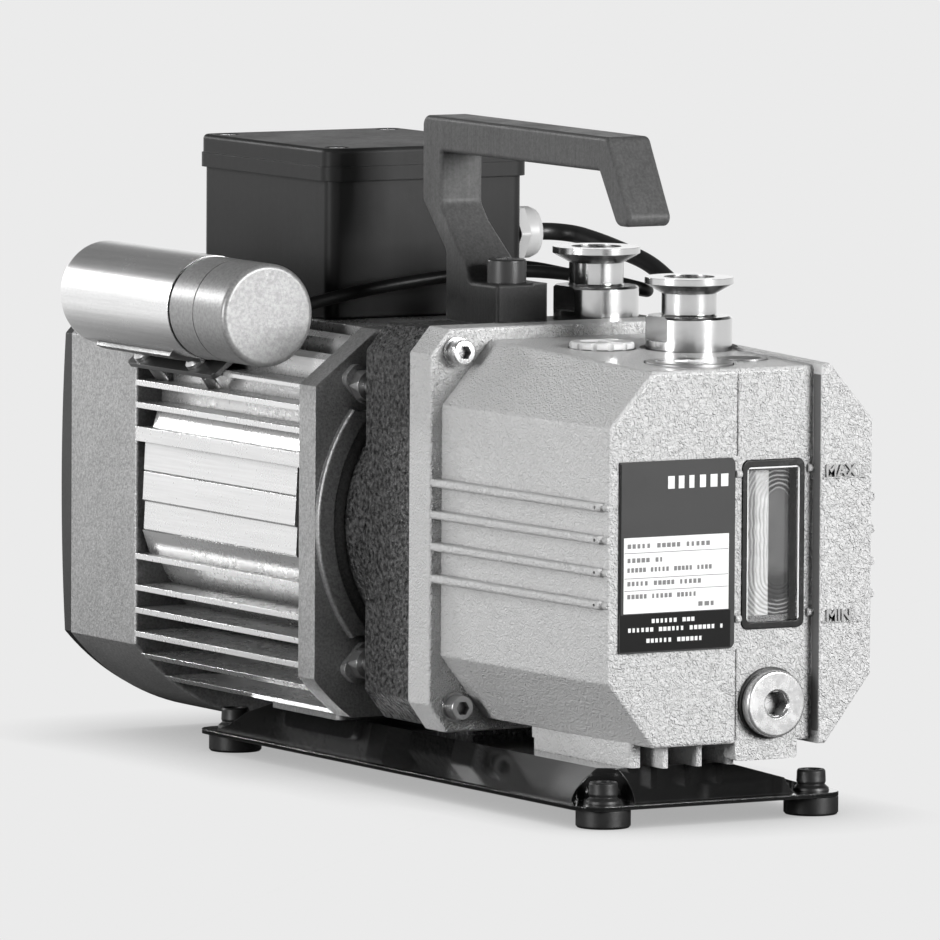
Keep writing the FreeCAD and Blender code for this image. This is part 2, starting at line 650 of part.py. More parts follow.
def motor_hub():
    hub = ring("y", 0, SHAFT_Z, 8.5, 20.0, 24.8, 34.0)
    return fuse([hub] + [sector(10.5, 20.0, 17.8, 24.9, 120 * i + 43, 34) for i in range(3)])


def coupling_spider():
    core = ring("y", 0, SHAFT_Z, 5.0, 10.4, 18.0, 24.6)
    return fuse([core] + [sector(10.2, 19.8, 18.0, 24.6, 60 * i + 17.4, 25.2) for i in range(6)])


# ---------------------------------------------------------------- motor
def motor_outline(y0, y1, trim=0.0, low=MOTOR_FLOOR, high=MOTOR_TOP):
    """Round body with flat sides and a flat top, chamfered above."""
    h = MOTOR_HALF - trim
    pts = [(-h, low), (-h, 135.4), (-h + 24.2, high), (h - 24.2, high), (h, 135.4), (h, low)]
    return prism("y", pts, y0, y1).common(cyl("y", 0, SHAFT_Z, MOTOR_R - trim, y0 - 1, y1 + 1))


def front_shield():
    y0, y1 = SHIELD_Y
    body = motor_outline(y0, y1)
    rim = ring("y", 0, SHAFT_Z, 56.6, 63.4, y0 - 2.2, y0)
    rim = softened(rim, 0.8, lambda e: on_plane(e, "y", y0 - 2.2))
    boss = cyl("y", 0, SHAFT_Z, 26.0, y1 - 1, y1 + 16.0)
    spigot = ring("y", 0, SHAFT_Z, 48.0, 53.9, y1 - 1, y1 + 5.0)
    tools = [
        cyl("y", 0, SHAFT_Z, 24.0, y0 - 6, y1 - 2.0),
        cyl("y", 0, SHAFT_Z, 10.0, y0, y1 + 20),
        cyl("y", 0, SHAFT_Z, 20.0, y1 + 2.0, y1 + 20),
    ]
    tools += [cyl("y", x, z, 3.02, y0 - 6, y0 + 9.0) for x, z in stud_places()]
    tools += [cyl("y", x, z, 2.55, y0 + 3.0, y1 + 1) for x, z in shield_bolts()]
    dents = ring("y", 0, SHAFT_Z, 34.0, 50.0, y0 - 1, y0 + 4.0)
    spokes = [box(-4, 4, y0, y0 + 4, SHAFT_Z - 52, SHAFT_Z + 52)]
    spokes.append(box(-52, 52, y0, y0 + 4, SHAFT_Z - 4, SHAFT_Z + 4))
    pockets = [cyl("y", x, z, 9.2, y0 - 5.0, y0) for x, z in stud_places()]
    web = cut(fuse([body, rim.cut(pockets), boss, spigot]), tools + [dents.cut(spokes)])
    return fuse([web] + clamp_lugs())


def shield_bolts():
    return [(sx * 50.0, SHAFT_Z + sz * 36.0) for sx in (-1, 1) for sz in (-1, 1)]


def finned_housing():
    """Extruded body: bore tube, long cooling fins, smooth flat band each side, flat top pad."""
    y0, y1 = FINS_Y
    tube = cyl("y", 0, SHAFT_Z, 58.5, y0, y1)
    whole = motor_outline(y0, y1)
    slabs = [box(-70, 70, y0, y1, z - 1.0, z + 1.0) for z in FIN_Z]
    slabs.append(box(-70, 70, y0, y1, FIN_Z[3] - 4.0, FIN_Z[3] + 0.4))
    slabs += [box(x - 1.2, x + 1.2, y0, y1, 120.0, 160.0) for x in (-52.0, -44.0, 44.0, 52.0)]
    slabs += [box(x - 1.2, x + 1.2, y0, y1, 10.0, 60.0) for x in (-28.0, -14.0, 0.0, 14.0, 28.0)]
    slabs.append(box(-39.0, 39.0, y0, y1, 140.0, MOTOR_TOP))
    fins = whole.common(fuse(slabs))
    band = []
    for side in (-1, 1):
        lo, hi = BAND_Z
        step = (hi - lo) / 3
        for i in range(3):
            depth = 62.4 if i != 1 else 62.9
            z0 = lo + step * i
            z1 = z0 + step
            pts = [(50.0, z0), (50.0, z1), (depth - 0.5, z1), (depth, z0 + 0.6), (depth - 0.6, z0)]
            pts = [(side * x, z) for x, z in pts]
            band.append(prism("y", pts, y0 + 4.0, y1 - 4.0))
        wedge = [(side * 50.0, FIN_Z[4]), (side * 50.0, lo), (side * 61.8, lo), (side * 58.6, FIN_Z[4])]
        band.append(prism("y", wedge, y0 + 2.0, y1 - 2.0))
        wedge = [(50.0, FIN_Z[3]), (50.0, FIN_Z[2]), (57.6, FIN_Z[2]), (60.4, FIN_Z[3])]
        wedge = [(side * x, z) for x, z in wedge]
        band.append(prism("y", wedge, y0 + 2.0, y1 - 6.0))
    body = fuse([tube, fins] + band)
    tools = [cyl("y", 0, SHAFT_Z, 54.0, y0 - 1, y1 + 1)]
    tools += [on_slope(cyl("z", 1.0, t, 2.05, -11.0, 1.0), BRACKET_Y) for t in BRACKET_HOLES]
    tools += [cyl("z", x, y, 2.55, 10.0, 26.0) for x, y in motor_foot_bolts()]
    return cut(body, tools)


def rear_outline(y0, y1, trim=0.0):
    h = MOTOR_HALF - trim
    flats = box(-h, h, y0, y1, 0, 151.0 - trim)
    return cyl("y", 0, SHAFT_Z, MOTOR_R - trim, y0, y1).common(flats)


def rear_shield():
    y0, y1 = REAR_Y
    body = rear_outline(y0, y1)
    body = softened(body, 1.2, lambda e: on_plane(e, "y", y0))
    tools = [
        rear_outline(y0 + 6.0, y1 + 1, 4.0),
        cyl("y", 0, SHAFT_Z, 9.0, y0 - 1, y1),
    ]
    body = cut(body, tools)
    boss = ring("y", 0, SHAFT_Z, 17.5, 23.0, y0 + 5.5, y0 + 17.5)
    lip = ring("y", 0, SHAFT_Z, 50.0, 53.9, y0 - 5.0, y0 + 0.5)
    webs = [box(22.0, 56.0, y0 + 5.5, y0 + 9.0, SHAFT_Z - 1.5, SHAFT_Z + 1.5)]
    webs = [spun(webs[0], 60 * i + 30) for i in range(6)]
    vents = []
    for i in range(6):
        hole = sector(28.0, 46.0, y0 - 1, y0 + 7.0, 60 * i + 8, 44)
        vents.append(hole)
    return cut(fuse([body, boss, lip]), vents).fuse(webs)


def fan_cover():
    """Plastic air grille that closes the back of the motor."""
    y0 = REAR_Y[1]
    dome = cyl("x", COVER_Y - COVER_CROWN, SHAFT_Z, COVER_CROWN, -90.0, 90.0)
    shell = rear_outline(y0, COVER_Y, 0.5).common(dome)
    inner = cyl("x", COVER_Y - COVER_CROWN, SHAFT_Z, COVER_CROWN - 2.4, -90.0, 90.0)
    hollow = rear_outline(y0 - 1, COVER_Y, 9.0).common(inner)
    slots = []
    for i in range(9):
        x = -40.0 + 10.0 * i
        reach = math.sqrt(52.0 ** 2 - x * x)
        slots.append(plate("y", x - 3.0, x + 3.0, SHAFT_Z - reach, SHAFT_Z + reach, y0 - 1, COVER_Y + 1, 2.9))
    return cut(shell, [hollow] + slots)


def motor_shaft():
    front = cyl("y", 0, SHAFT_Z, 8.5, 26.0, 60.0)
    mid = cyl("y", 0, SHAFT_Z, 11.0, 55.0, 153.0)
    rear = cyl("y", 0, SHAFT_Z, 7.5, 152.0, 196.0)
    return fuse([front, mid, rear])


def motor_rotor():
    core = ring("y", 0, SHAFT_Z, 11.0, 29.6, 62.0, 132.0)
    ends = [ring("y", 0, SHAFT_Z, 20.0, 28.0, y, y + 6.0) for y in (56.5, 131.5)]
    blades = []
    for i in range(9):
        blade = box(21.0, 27.0, 137.0, 142.0, SHAFT_Z - 0.8, SHAFT_Z + 0.8)
        blades.append(spun(blade, 40 * i))
    return fuse([core] + ends + blades)


def stator_core():
    core = ring("y", 0, SHAFT_Z, 30.0, 54.0, 62.0, 132.0)
    slots = []
    for i in range(24):
        slot = box(32.5, 44.0, 61.0, 133.0, SHAFT_Z - 1.9, SHAFT_Z + 1.9)
        slots.append(spun(slot, 15 * i))
    return core.cut(slots)


def windings():
    """Copper end turns and the coil sides that fill the stator slots."""
    rings = [ring("y", 0, SHAFT_Z, 32.8, 47.0, y, y + 12.5) for y in (49.4, 132.1)]
    rings = [softened(r, 4.5, lambda e: abs(e.BoundBox.ZLength - 94.0) < 0.5) for r in rings]
    sides = []
    for i in range(24):
        bar = box(33.0, 43.6, 60.0, 134.0, SHAFT_Z - 1.7, SHAFT_Z + 1.7)
        sides.append(spun(bar, 15 * i))
    return fuse(rings + sides)


def ball_bearing(y0, width, r_in, r_out):
    """Closed bearing: rings with the shield groove each side, bore just clear of the shaft."""
    body = ring("y", 0, SHAFT_Z, r_in + RUN, r_out, y0, y0 + width)
    third = (r_out - r_in) / 3
    grooves = [ring("y", 0, SHAFT_Z, r_in + third, r_out - third, t, t + 0.5) for t in (y0, y0 + width - 0.5)]
    return body.cut(grooves)


def bearings():
    return [ball_bearing(41.9, 12.0, 8.5, 20.0), ball_bearing(161.4, 11.0, 7.5, 17.5)]


def fan():
    hub = ring("y", 0, SHAFT_Z, 7.5, 14.0, 178.0, 196.0)
    disc = ring("y", 0, SHAFT_Z, 13.0, 52.0, 178.0, 180.4)

    def outer(e):
        return e.BoundBox.ZLength > 2 and e.BoundBox.XMin > 51 and e.BoundBox.YMin > 197

    blades = []
    for i in range(9):
        blade = box(13.0, 52.0, 180.0, 198.0, SHAFT_Z - 1.1, SHAFT_Z + 1.1)
        blade = softened(blade, 5.0, outer)
        blades.append(spun(blade, 40 * i))
    return fuse([hub, disc] + blades)


def motor_foot_bolts():
    return [(x, y) for x in (-30.0, 13.0) for y in (56.0, 84.0)]


def motor_foot():
    """Cast foot that carries the motor on the deck of the base plate."""
    pad = plate("z", -44.0, 40.0, 46.0, 94.0, DECK_Z, MOTOR_FLOOR, 3.0)
    return pad.cut([cyl("z", x, y, 2.7, DECK_Z - 1, MOTOR_FLOOR + 1) for x, y in motor_foot_bolts()])


# ---------------------------------------------------------------- terminal box
def terminal_box():
    x0, x1 = BOX_X
    y0, y1 = BOX_Y
    z0, z1, _ = BOX_Z
    body = plate("z", x0, x1, y0, y1, z0, z1, 4.0)
    body = softened(body, 1.0, lambda e: on_plane(e, "z", z0))
    inner = plate("z", x0 + 2.6, x1 - 2.6, y0 + 2.6, y1 - 2.6, z0 + 3.0, z1 + 1, 2.6)
    posts = [cyl("z", x, y, 4.2, z0 + 1, z1) for x, y in lid_bolts()]
    tools = [inner.cut(posts), cyl("x", GLAND[0], GLAND[1], 8.0, x1 - 8.2, x1 + 5)]
    tools += [cyl("z", x, y, 2.0, z1 - 14, z1 + 1) for x, y in lid_bolts()]
    tools.append(cyl("x", LEAD_IN[0], LEAD_IN[1], 2.4, x1 - 4, x1 + 1))
    return cut(body, tools)


def lid_bolts():
    return [(x, y) for x in (BOX_X[0] + 6.5, BOX_X[1] - 6.5) for y in (BOX_Y[0] + 6.5, BOX_Y[1] - 6.5)]


def terminal_lid():
    x0, x1 = BOX_X
    y0, y1 = BOX_Y
    z0, z1 = BOX_Z[1], BOX_Z[2]
    g = 1.6
    lower = plate("z", x0 - g, x1 + g, y0 - g, y1 + g, z0, z0 + 5.0, 5.4)
    upper = plate("z", x0 - g + 0.5, x1 + g - 0.5, y0 - g + 0.5, y1 + g - 0.5, z0 + 5.0, z1, 5.0)
    lid = fuse([lower, upper])
    lid = softened(lid, 1.6, lambda e: on_plane(e, "z", z1))
    tools = [cyl("z", x, y, 2.1, z0 - 1, z1 + 1) for x, y in lid_bolts()]
    tools += [cyl("z", x, y, 4.3, z1 - 2.8, z1 + 1) for x, y in lid_bolts()]
    tools.append(plate("z", x0 + 14, x1 - 14, y0 + 4, y1 - 4, z0 - 1, z1 - 3.0, 3.0))
    return cut(lid, tools)


def pan_screws():
    """Identical pan heads: four in the terminal lid, two in the capacitor bracket."""
    lid = [pan_screw(V(x, y, BOX_Z[2] - 2.8), V(0, 0, 1), 4.0, 12.0) for x, y in lid_bolts()]
    side = [on_slope(pan_screw(V(1.0, t, 1.8), V(0, 0, 1), 4.0, 12.0), BRACKET_Y) for t in BRACKET_HOLES]
    return lid + side


def cable_gland():
    y, z = GLAND
    x1 = BOX_X[1]
    nut_part = prism("x", hexagon(18.0, y, z), x1, x1 + 4.0, 1.2)
    profile = [(3.1, 4.0), (9.0, 4.0), (9.0, 8.0), (8.3, 9.8), (6.4, 10.8), (3.1, 10.8)]
    dome = turned(profile, V(x1, y, z), V(1, 0, 0))
    thread = ring("x", y, z, 3.1, 7.9, x1 - 8.0, x1)
    bore = cyl("x", y, z, 3.1, x1 - 9, x1 + 20)
    return fuse([nut_part, dome, thread]).cut(bore)


def cable(points, radius):
    """Round cable from point to point, with the widest even bend that fits at each corner."""
    corners = [V(*p) for p in points]
    start = corners[0]
    runs = []
    for before, corner, after in zip(corners, corners[1:], corners[2:]):
        back = (before - corner).normalize()
        ahead = (after - corner).normalize()
        reach = 0.49 * min((before - corner).Length, (after - corner).Length)
        turn = math.pi - back.getAngle(ahead)
        bend_start = corner + back * reach
        centre = corner + (back + ahead).normalize() * (reach / math.sin(turn / 2))
        section = Part.Face(Part.Wire(Part.makeCircle(radius, bend_start, back * -1)))
        runs.append(Part.makeCylinder(radius, (bend_start - start).Length, start, back * -1))
        runs.append(section.revolve(centre, (back * -1).cross(ahead), math.degrees(turn)))
        start = corner + ahead * reach
    last = corners[-1] - start
    runs.append(Part.makeCylinder(radius, last.Length, start, last))
    return fuse(runs)


def power_cable():
    """Mains cable: out of the gland, then forward and down past the ports; its far end is cut square."""
    y, z = GLAND
    x = BOX_X[1]
    bend = [(66.4, y, z), (69.6, 62.0, 178.2), (73.4, 36.0, 172.6), (74.5, 22.0, 166.0)]
    return cable([(x - 8, y, z)] + bend, 3.0)


def capacitor_lead():
    """Flexible lead from the capacitor cap, across in front of the terminal box and back into its side."""
    x = BOX_X[1]
    first = [
        (-54.2, 57.0, 160.0), (-46.0, 60.0, 161.4), (-20.0, 62.0, 165.6),
        (10.0, 60.0, 169.0), (36.0, 56.0, 170.0),
    ]
    loop = [
        (55.0, 43.0, 167.8), (69.0, 33.0, 164.0), (77.0, 42.0, 162.0),
        (72.0, 64.0, 164.0), (56.0, 84.0, 168.2),
    ]
    return cable(first + loop + [(x + 4.0, LEAD_IN[0], LEAD_IN[1]), (x - 2.0, LEAD_IN[0], LEAD_IN[1])], 2.2)


# ---------------------------------------------------------------- capacitor
def capacitor_can():
    x, z, r = CAN
    can = cyl("y", x, z, r, CAN_Y[0] + 38.6, CAN_Y[1])
    return softened(can, 3.2, lambda e: on_plane(e, "y", CAN_Y[1]))


def capacitor_cap():
    x, z, r = CAN
    y0 = CAN_Y[0]
    cap = cyl("y", x, z, r - 0.3, y0, y0 + 37.6)
    cap = softened(cap, 1.8, lambda e: on_plane(e, "y", y0))
    neck = cyl("y", x, z, r - 1.6, y0 + 37.0, y0 + 38.6)
    groove = ring("y", x, z, r - 0.6, r + 1, y0 + 21.0, y0 + 21.5)
    return fuse([cap, neck]).cut([groove, cyl("x", 57.0, 160.0, 2.25, x + 10.0, x + 30.0)])


def on_slope(shape, y):
    """Moves a part drawn flat on to the left upper chamfer of the motor."""
    slope = math.degrees(math.atan2(MOTOR_TOP - 135.4, 24.2))
    out = shape.copy()
    out.rotate(V(0, 0, 0), V(0, 1, 0), -slope)
    out.translate(V(-MOTOR_HALF, y, 135.4))
    return out


def capacitor_bracket():
    """Bent saddle strip: flat foot on the motor chamfer, cradle under the can."""
    x, z, r = CAN
    foot = on_slope(plate("z", -4.0, 22.0, 0.0, 62.0, 0.0, 1.8, 2.0), BRACKET_Y)
    cradle = ring("y", x, z, r, r + 1.6, 100.0, 153.0)
    keep = prism("y", [(x, z), (x - 12.0, z - 24.0), (x + 30.0, z - 24.0), (x + 24.0, z - 4.0)], 100.0, 153.0)
    rib = on_slope(box(6.4, 10.4, 7.0, 60.0, 1.0, 8.0), BRACKET_Y)
    body = fuse([foot, cradle.common(keep), rib.cut(cyl("y", x, z, r + 0.4, 90, 170))])
    tools = [cyl("y", x, z, r, 80.0, 170.0)]
    tools += [on_slope(cyl("z", 1.0, t, 2.1, -3.0, 9.0), BRACKET_Y) for t in BRACKET_HOLES]
    tools += [on_slope(cyl("z", 1.0, t, 4.6, 1.8, 9.0), BRACKET_Y) for t in BRACKET_HOLES]
    return cut(body, tools)


# ---------------------------------------------------------------- handle
def handle():
    """Cast grip: foot on the coupling housing, cranked post, long grip turned down at the front."""
    x0, x1 = HANDLE_X
    top = 226.6
    pts = [
        (17.5, HOUSING_TOP), (17.5, 181.0), (33.5, 197.5), (33.5, top), (-89.5, 226.0), (-105.6, 196.8),
        (-95.0, 196.8), (-83.5, 214.4), (20.6, 214.6), (20.6, 197.0), (4.6, 178.6), (1.6, 171.8),
        (-17.5, 171.8), (-17.5, HOUSING_TOP),
    ]
    radii = [0, 4.0, 4.0, 3.5, 3.0, 3.0, 4.0, 1.0, 1.0, 4.0, 4.0, 4.0, 1.0, 0]
    body = prism("x", pts, x0, x1, radii)

    def upper(e):
        return e.BoundBox.ZMin > 172.5 and (on_plane(e, "x", x0) or on_plane(e, "x", x1))

    body = softened(body, 1.4, upper)
    flare = prism("y", [(x1 - 2, 158.0), (x1 + 3.2, 158.0), (x1 + 3.2, 176.0), (x1 - 2, 196.0)], 5.0, 17.4)
    rear = [(0.0, 171.8), (17.5, 158.0), (17.5, 181.0), (33.5, 197.5), (20.6, 197.0), (4.6, 178.6)]
    flare = flare.common(prism("x", rear, x0, x1 + 4))
    block = box(x1 - 2, x1 + 3.2, -17.5, 17.4, HOUSING_TOP, 171.8)
    over_flange = box(x0 - 1, x1 + 5, -20.0, JOINT_Y, HOUSING_TOP - 1, FLANGE_Z[1])
    bolt_hole = cyl("z", HANDLE_BOLT[0], HANDLE_BOLT[1], 4.2, HOUSING_TOP - 1, 180.0)
    return fuse([body, flare, block]).cut([bolt_hole, over_flange])


def handle_screw():
    return socket_screw(V(HANDLE_BOLT[0], HANDLE_BOLT[1], 171.8), V(0, 0, 1), 8.0, 26.0)


# ---------------------------------------------------------------- base
def deck_rows(drop):
    low = [(-50.5, -129.0), (46.5, -129.0), (46.5, 130.0), (-50.5, 130.0)]
    high = [(-37.0, -119.0), (10.0, -119.0), (24.0, 104.0), (-37.0, 104.0)]
    d = drop * 0.9
    low = [(x - d if x > 0 else x + d, y - d if y > 0 else y + d) for x, y in low]
    return low, high


def base_plate():
    """Pressed steel tray: flat rim, raised deck under pump and motor, four foot holes."""
    rim = plate("z", PLATE_X[0], PLATE_X[1], PLATE_Y[0], PLATE_Y[1], PLATE_Z - SHEET, PLATE_Z, 9.0)
    low, high = deck_rows(0.0)
    hill = loft("z", low, PLATE_Z - 0.01, high, DECK_Z)
    low, high = deck_rows(2.2)
    under = loft("z", low, PLATE_Z - SHEET - 0.01, high, DECK_Z - SHEET)
    pads = []
    for sx in (-1, 1):
        for sy in (-1, 1):
            pads.append(cyl("z", sx * FOOT_X, sy * FOOT_Y, 10.5, PLATE_Z, DECK_Z + 1))
    body = fuse([rim, hill.cut(pads)])
    wells = [cyl("z", sx * FOOT_X, sy * FOOT_Y, 12.0, 0, DECK_Z) for sx in (-1, 1) for sy in (-1, 1)]
    under = under.cut(wells)
    tools = [under, box(-38.0, 36.0, -120.0, 120.0, 0.0, PLATE_Z - SHEET)]
    tools += [cyl("z", sx * FOOT_X, sy * FOOT_Y, 5.6, 0, 30) for sx in (-1, 1) for sy in (-1, 1)]
    tools += [cyl("z", -14.5, y, 3.2, 0, 30) for y in (-104.0, -76.0)]
    tools += [cyl("z", -4.0, y, 3.2, 0, 30) for y in (-8.0, 8.0)]
    tools += [cyl("z", x, y, 2.7, 0, 30) for x, y in motor_foot_bolts()]
    tools.append(plate("z", 10.5, 23.5, -104.5, -98.0, 0, 30, 3.0))
    return cut(body, tools)


def rubber_feet():
    out = []
    low = PLATE_Z - SHEET
    profile = [
        (FOOT_BORE, 0), (8.6, 0), (9.2, 0.7), (9.2, low - 0.4), (8.8, low), (5.5, low), (5.5, PLATE_Z),
        (6.1, PLATE_Z), (5.9, 8.9), (4.6, 10.0), (4.95, 11.0), (4.8, 14.4), (4.4, 15.0), (FOOT_BORE, 15.0),
    ]
    for sx in (-1, 1):
        for sy in (-1, 1):
            out.append(turned(profile, V(sx * FOOT_X, sy * FOOT_Y, 0)))
    return out


def base_screws():
    z = DECK_Z - SHEET
    spots = [(-14.5, -104.0), (-14.5, -76.0), (-4.0, -8.0), (-4.0, 8.0)]
    out = [socket_screw(V(x, y, z), V(0, 0, -1), 6.0, 6.0 if y < -50 else 14.0) for x, y in spots]
    out += [socket_screw(V(x, y, z), V(0, 0, -1), 5.0, 7.0) for x, y in motor_foot_bolts()]
    return out


# ---------------------------------------------------------------- write every piece
PIECES = {
    "oil_case": oil_case,
    "case_screws": case_screws,
    "sight_glass_frame": sight_glass_frame,
    "sight_glass": sight_glass,
    "rating_plate": rating_plate,
    "drain_plug": drain_plug,
    "drain_plug_seal": drain_plug_seal,
    "filler_plug": filler_plug,
    "top_plug": top_plug,
    "ballast_knob": ballast_knob,
    "exhaust_port": lambda: kf_port(EXHAUST[0], EXHAUST[1], 152.6, 24.6),
    "intake_port": lambda: kf_port(INTAKE[0], INTAKE[1], HOUSING_TOP, 24.8),
    "exhaust_filter": exhaust_filter,
    "coupling_housing": coupling_housing,
    "shaft_seal": shaft_seal,
    "clamp_bolts": clamp_bolts,
    "suction_valve": suction_valve,
    "pump_rear_plate": rear_plate,
    "hv_stator": lambda: stator(*HV),
    "pump_mid_plate": lambda: end_plate(*MID_PLATE),
    "fv_stator": lambda: stator(*FV),
    "pump_front_plate": lambda: end_plate(*FRONT_PLATE),
    "tie_screws": tie_screws,
    "pump_rotor": pump_rotor,
    "vane_hv_a": lambda: vane(HV[0], HV[1], 1),
    "vane_hv_b": lambda: vane(HV[0], HV[1], -1),
    "vane_fv_a": lambda: vane(FV[0], FV[1], 1),
    "vane_fv_b": lambda: vane(FV[0], FV[1], -1),
    "valve_flap_hv": lambda: valve_flap(*HV),
    "valve_flap_fv": lambda: valve_flap(*FV),
    "valve_stops": lambda: [valve_stop(*HV), valve_stop(*FV)],
    "oil_pump_cover": oil_pump_cover,
    "oil_gear_driven": lambda: oil_gear(True),
    "coupling_hubs": lambda: [pump_hub(), motor_hub()],
    "coupling_spider": coupling_spider,
    "motor_front_shield": front_shield,
    "motor_housing": finned_housing,
    "motor_rear_shield": rear_shield,
    "fan_cover": fan_cover,
    "fan": fan,
    "motor_shaft": motor_shaft,
    "motor_rotor": motor_rotor,
    "stator_core": stator_core,
    "windings": windings,
    "bearings": bearings,
    "motor_foot": motor_foot,
    "terminal_box": terminal_box,
    "terminal_lid": terminal_lid,
    "pan_screws": pan_screws,
    "cable_gland": cable_gland,
    "power_cable": power_cable,
    "capacitor_can": capacitor_can,
    "capacitor_cap": capacitor_cap,
    "capacitor_bracket": capacitor_bracket,
    "capacitor_lead": capacitor_lead,
    "handle": handle,
    "handle_screw": handle_screw,
    "base_plate": base_plate,
    "rubber_feet": rubber_feet,
    "base_screws": base_screws,
}
for node, make in PIECES.items():
    save(node, make())
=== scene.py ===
import json
import math

import bpy
from mathutils import Matrix, Vector


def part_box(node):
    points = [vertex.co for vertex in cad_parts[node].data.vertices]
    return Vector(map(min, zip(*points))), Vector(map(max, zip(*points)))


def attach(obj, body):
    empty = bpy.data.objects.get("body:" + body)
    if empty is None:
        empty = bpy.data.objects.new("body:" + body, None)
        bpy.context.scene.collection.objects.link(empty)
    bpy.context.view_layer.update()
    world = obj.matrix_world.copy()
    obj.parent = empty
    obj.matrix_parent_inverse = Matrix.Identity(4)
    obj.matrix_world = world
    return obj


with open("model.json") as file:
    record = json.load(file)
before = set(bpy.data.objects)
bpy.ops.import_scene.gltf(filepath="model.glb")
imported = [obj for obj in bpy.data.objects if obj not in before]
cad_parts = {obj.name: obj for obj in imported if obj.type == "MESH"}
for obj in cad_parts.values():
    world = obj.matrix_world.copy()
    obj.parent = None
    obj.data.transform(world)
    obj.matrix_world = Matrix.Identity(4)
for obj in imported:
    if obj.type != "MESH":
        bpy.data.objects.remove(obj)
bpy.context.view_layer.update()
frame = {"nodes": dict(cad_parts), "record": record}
nodes = frame["nodes"]
MM = 0.001
BODY = "pump"


# ---------------------------------------------------------------- material building
BROAD = 22.0        # size of the slow colour drift, in millimetres
FINE = 2.3          # size of the fine wear pattern, in millimetres
LINE_STRETCH = 0.02
COAT_ROUGHNESS = 0.12
FLAT_DOT, EDGE_DOT = 0.985, 0.86


def grey(v):
    return (v, v, v, 1.0)


def along(axis):
    """Noise scale that draws fine lines along one axis."""
    return tuple(LINE_STRETCH if name == axis else 1.0 for name in "xyz")


class Graph:
    """Makes one material and wires its shader nodes."""

    def __init__(self, name):
        self.mat = bpy.data.materials.new(name)
        self.mat.use_nodes = True
        self.tree = self.mat.node_tree
        self.tree.nodes.clear()
        self.out = self.add("ShaderNodeOutputMaterial")
        self.coord = None

    def add(self, kind, **props):
        node = self.tree.nodes.new(kind)
        for key, value in props.items():
            setattr(node, key, value)
        return node

    def link(self, a, b):
        self.tree.links.new(a, b)

    def feed(self, value, socket):
        """Sets a socket to a number or colour, or links another socket to it."""
        if isinstance(value, (int, float, tuple)):
            socket.default_value = value
        else:
            self.link(value, socket)

    def math(self, op, *values):
        node = self.add("ShaderNodeMath", operation=op)
        for value, socket in zip(values, node.inputs):
            self.feed(value, socket)
        return node.outputs[0]

    def ramp(self, value, lo, hi, to_lo=0.0, to_hi=1.0):
        node = self.add("ShaderNodeMapRange", clamp=True)
        self.link(value, node.inputs["Value"])
        for key, v in (("From Min", lo), ("From Max", hi), ("To Min", to_lo), ("To Max", to_hi)):
            node.inputs[key].default_value = v
        return node.outputs["Result"]

    def mix(self, factor, a, b, blend="MIX"):
        node = self.add("ShaderNodeMix", data_type="RGBA", blend_type=blend)
        for value, key in ((factor, 0), (a, 6), (b, 7)):
            self.feed(value, node.inputs[key])
        return node.outputs[2]

    def mix_shaders(self, factor, a, b):
        node = self.add("ShaderNodeMixShader")
        for value, key in ((factor, 0), (a, 1), (b, 2)):
            self.link(value, node.inputs[key])
        return node.outputs[0]

    def grey_of(self, value):
        """Colour with one value in all three channels."""
        node = self.add("ShaderNodeCombineColor")
        for i in range(3):
            self.link(value, node.inputs[i])
        return node.outputs[0]

    def place(self, scale=(1.0, 1.0, 1.0)):
        """Object position in millimetres, stretched by scale."""
        if self.coord is None:
            self.coord = self.add("ShaderNodeTexCoord").outputs["Object"]
        node = self.add("ShaderNodeMapping")
        node.inputs["Scale"].default_value = tuple(1000.0 * s for s in scale)
        self.link(self.coord, node.inputs["Vector"])
        return node.outputs["Vector"]

    def split(self, vector):
        node = self.add("ShaderNodeSeparateXYZ")
        self.link(vector, node.inputs[0])
        return node.outputs["X"], node.outputs["Y"], node.outputs["Z"]

    def noise(self, size, detail=3.0, rough=0.5, scale=(1.0, 1.0, 1.0), distort=0.0):
        node = self.add("ShaderNodeTexNoise")
        node.inputs["Scale"].default_value = 1.0 / size
        node.inputs["Detail"].default_value = detail
        node.inputs["Roughness"].default_value = rough
        node.inputs["Distortion"].default_value = distort
        self.link(self.place(scale), node.inputs["Vector"])
        return node.outputs[0]

    def cells(self, size):
        node = self.add("ShaderNodeTexVoronoi", feature="SMOOTH_F1")
        node.inputs["Scale"].default_value = 1.0 / size
        self.link(self.place(), node.inputs["Vector"])
        return node.outputs["Distance"]

    def relief(self, kind, size):
        """Height pattern of one kind: cells, worms, lines along x, y or z, or plain noise."""
        if kind == "cells":
            return self.cells(size)
        if kind == "worms":
            return self.noise(size, 1.0, 0.4, distort=1.6)
        if kind in "xyz":
            return self.noise(size, 3.0, 0.6, along(kind))
        return self.noise(size, 3.0, 0.6)

    def bump(self, field, height, normal=None):
        node = self.add("ShaderNodeBump")
        node.inputs["Distance"].default_value = height * MM
        self.link(field, node.inputs["Height"])
        if normal is not None:
            self.link(normal, node.inputs["Normal"])
        return node.outputs[0]

    def occlusion(self, reach, samples):
        node = self.add("ShaderNodeAmbientOcclusion", samples=samples)
        node.inputs["Distance"].default_value = reach
        return node.outputs["AO"]

    def emission(self, value, strength):
        node = self.add("ShaderNodeEmission")
        node.inputs["Color"].default_value = grey(value)
        self.link(strength, node.inputs["Strength"])
        return node.outputs[0]


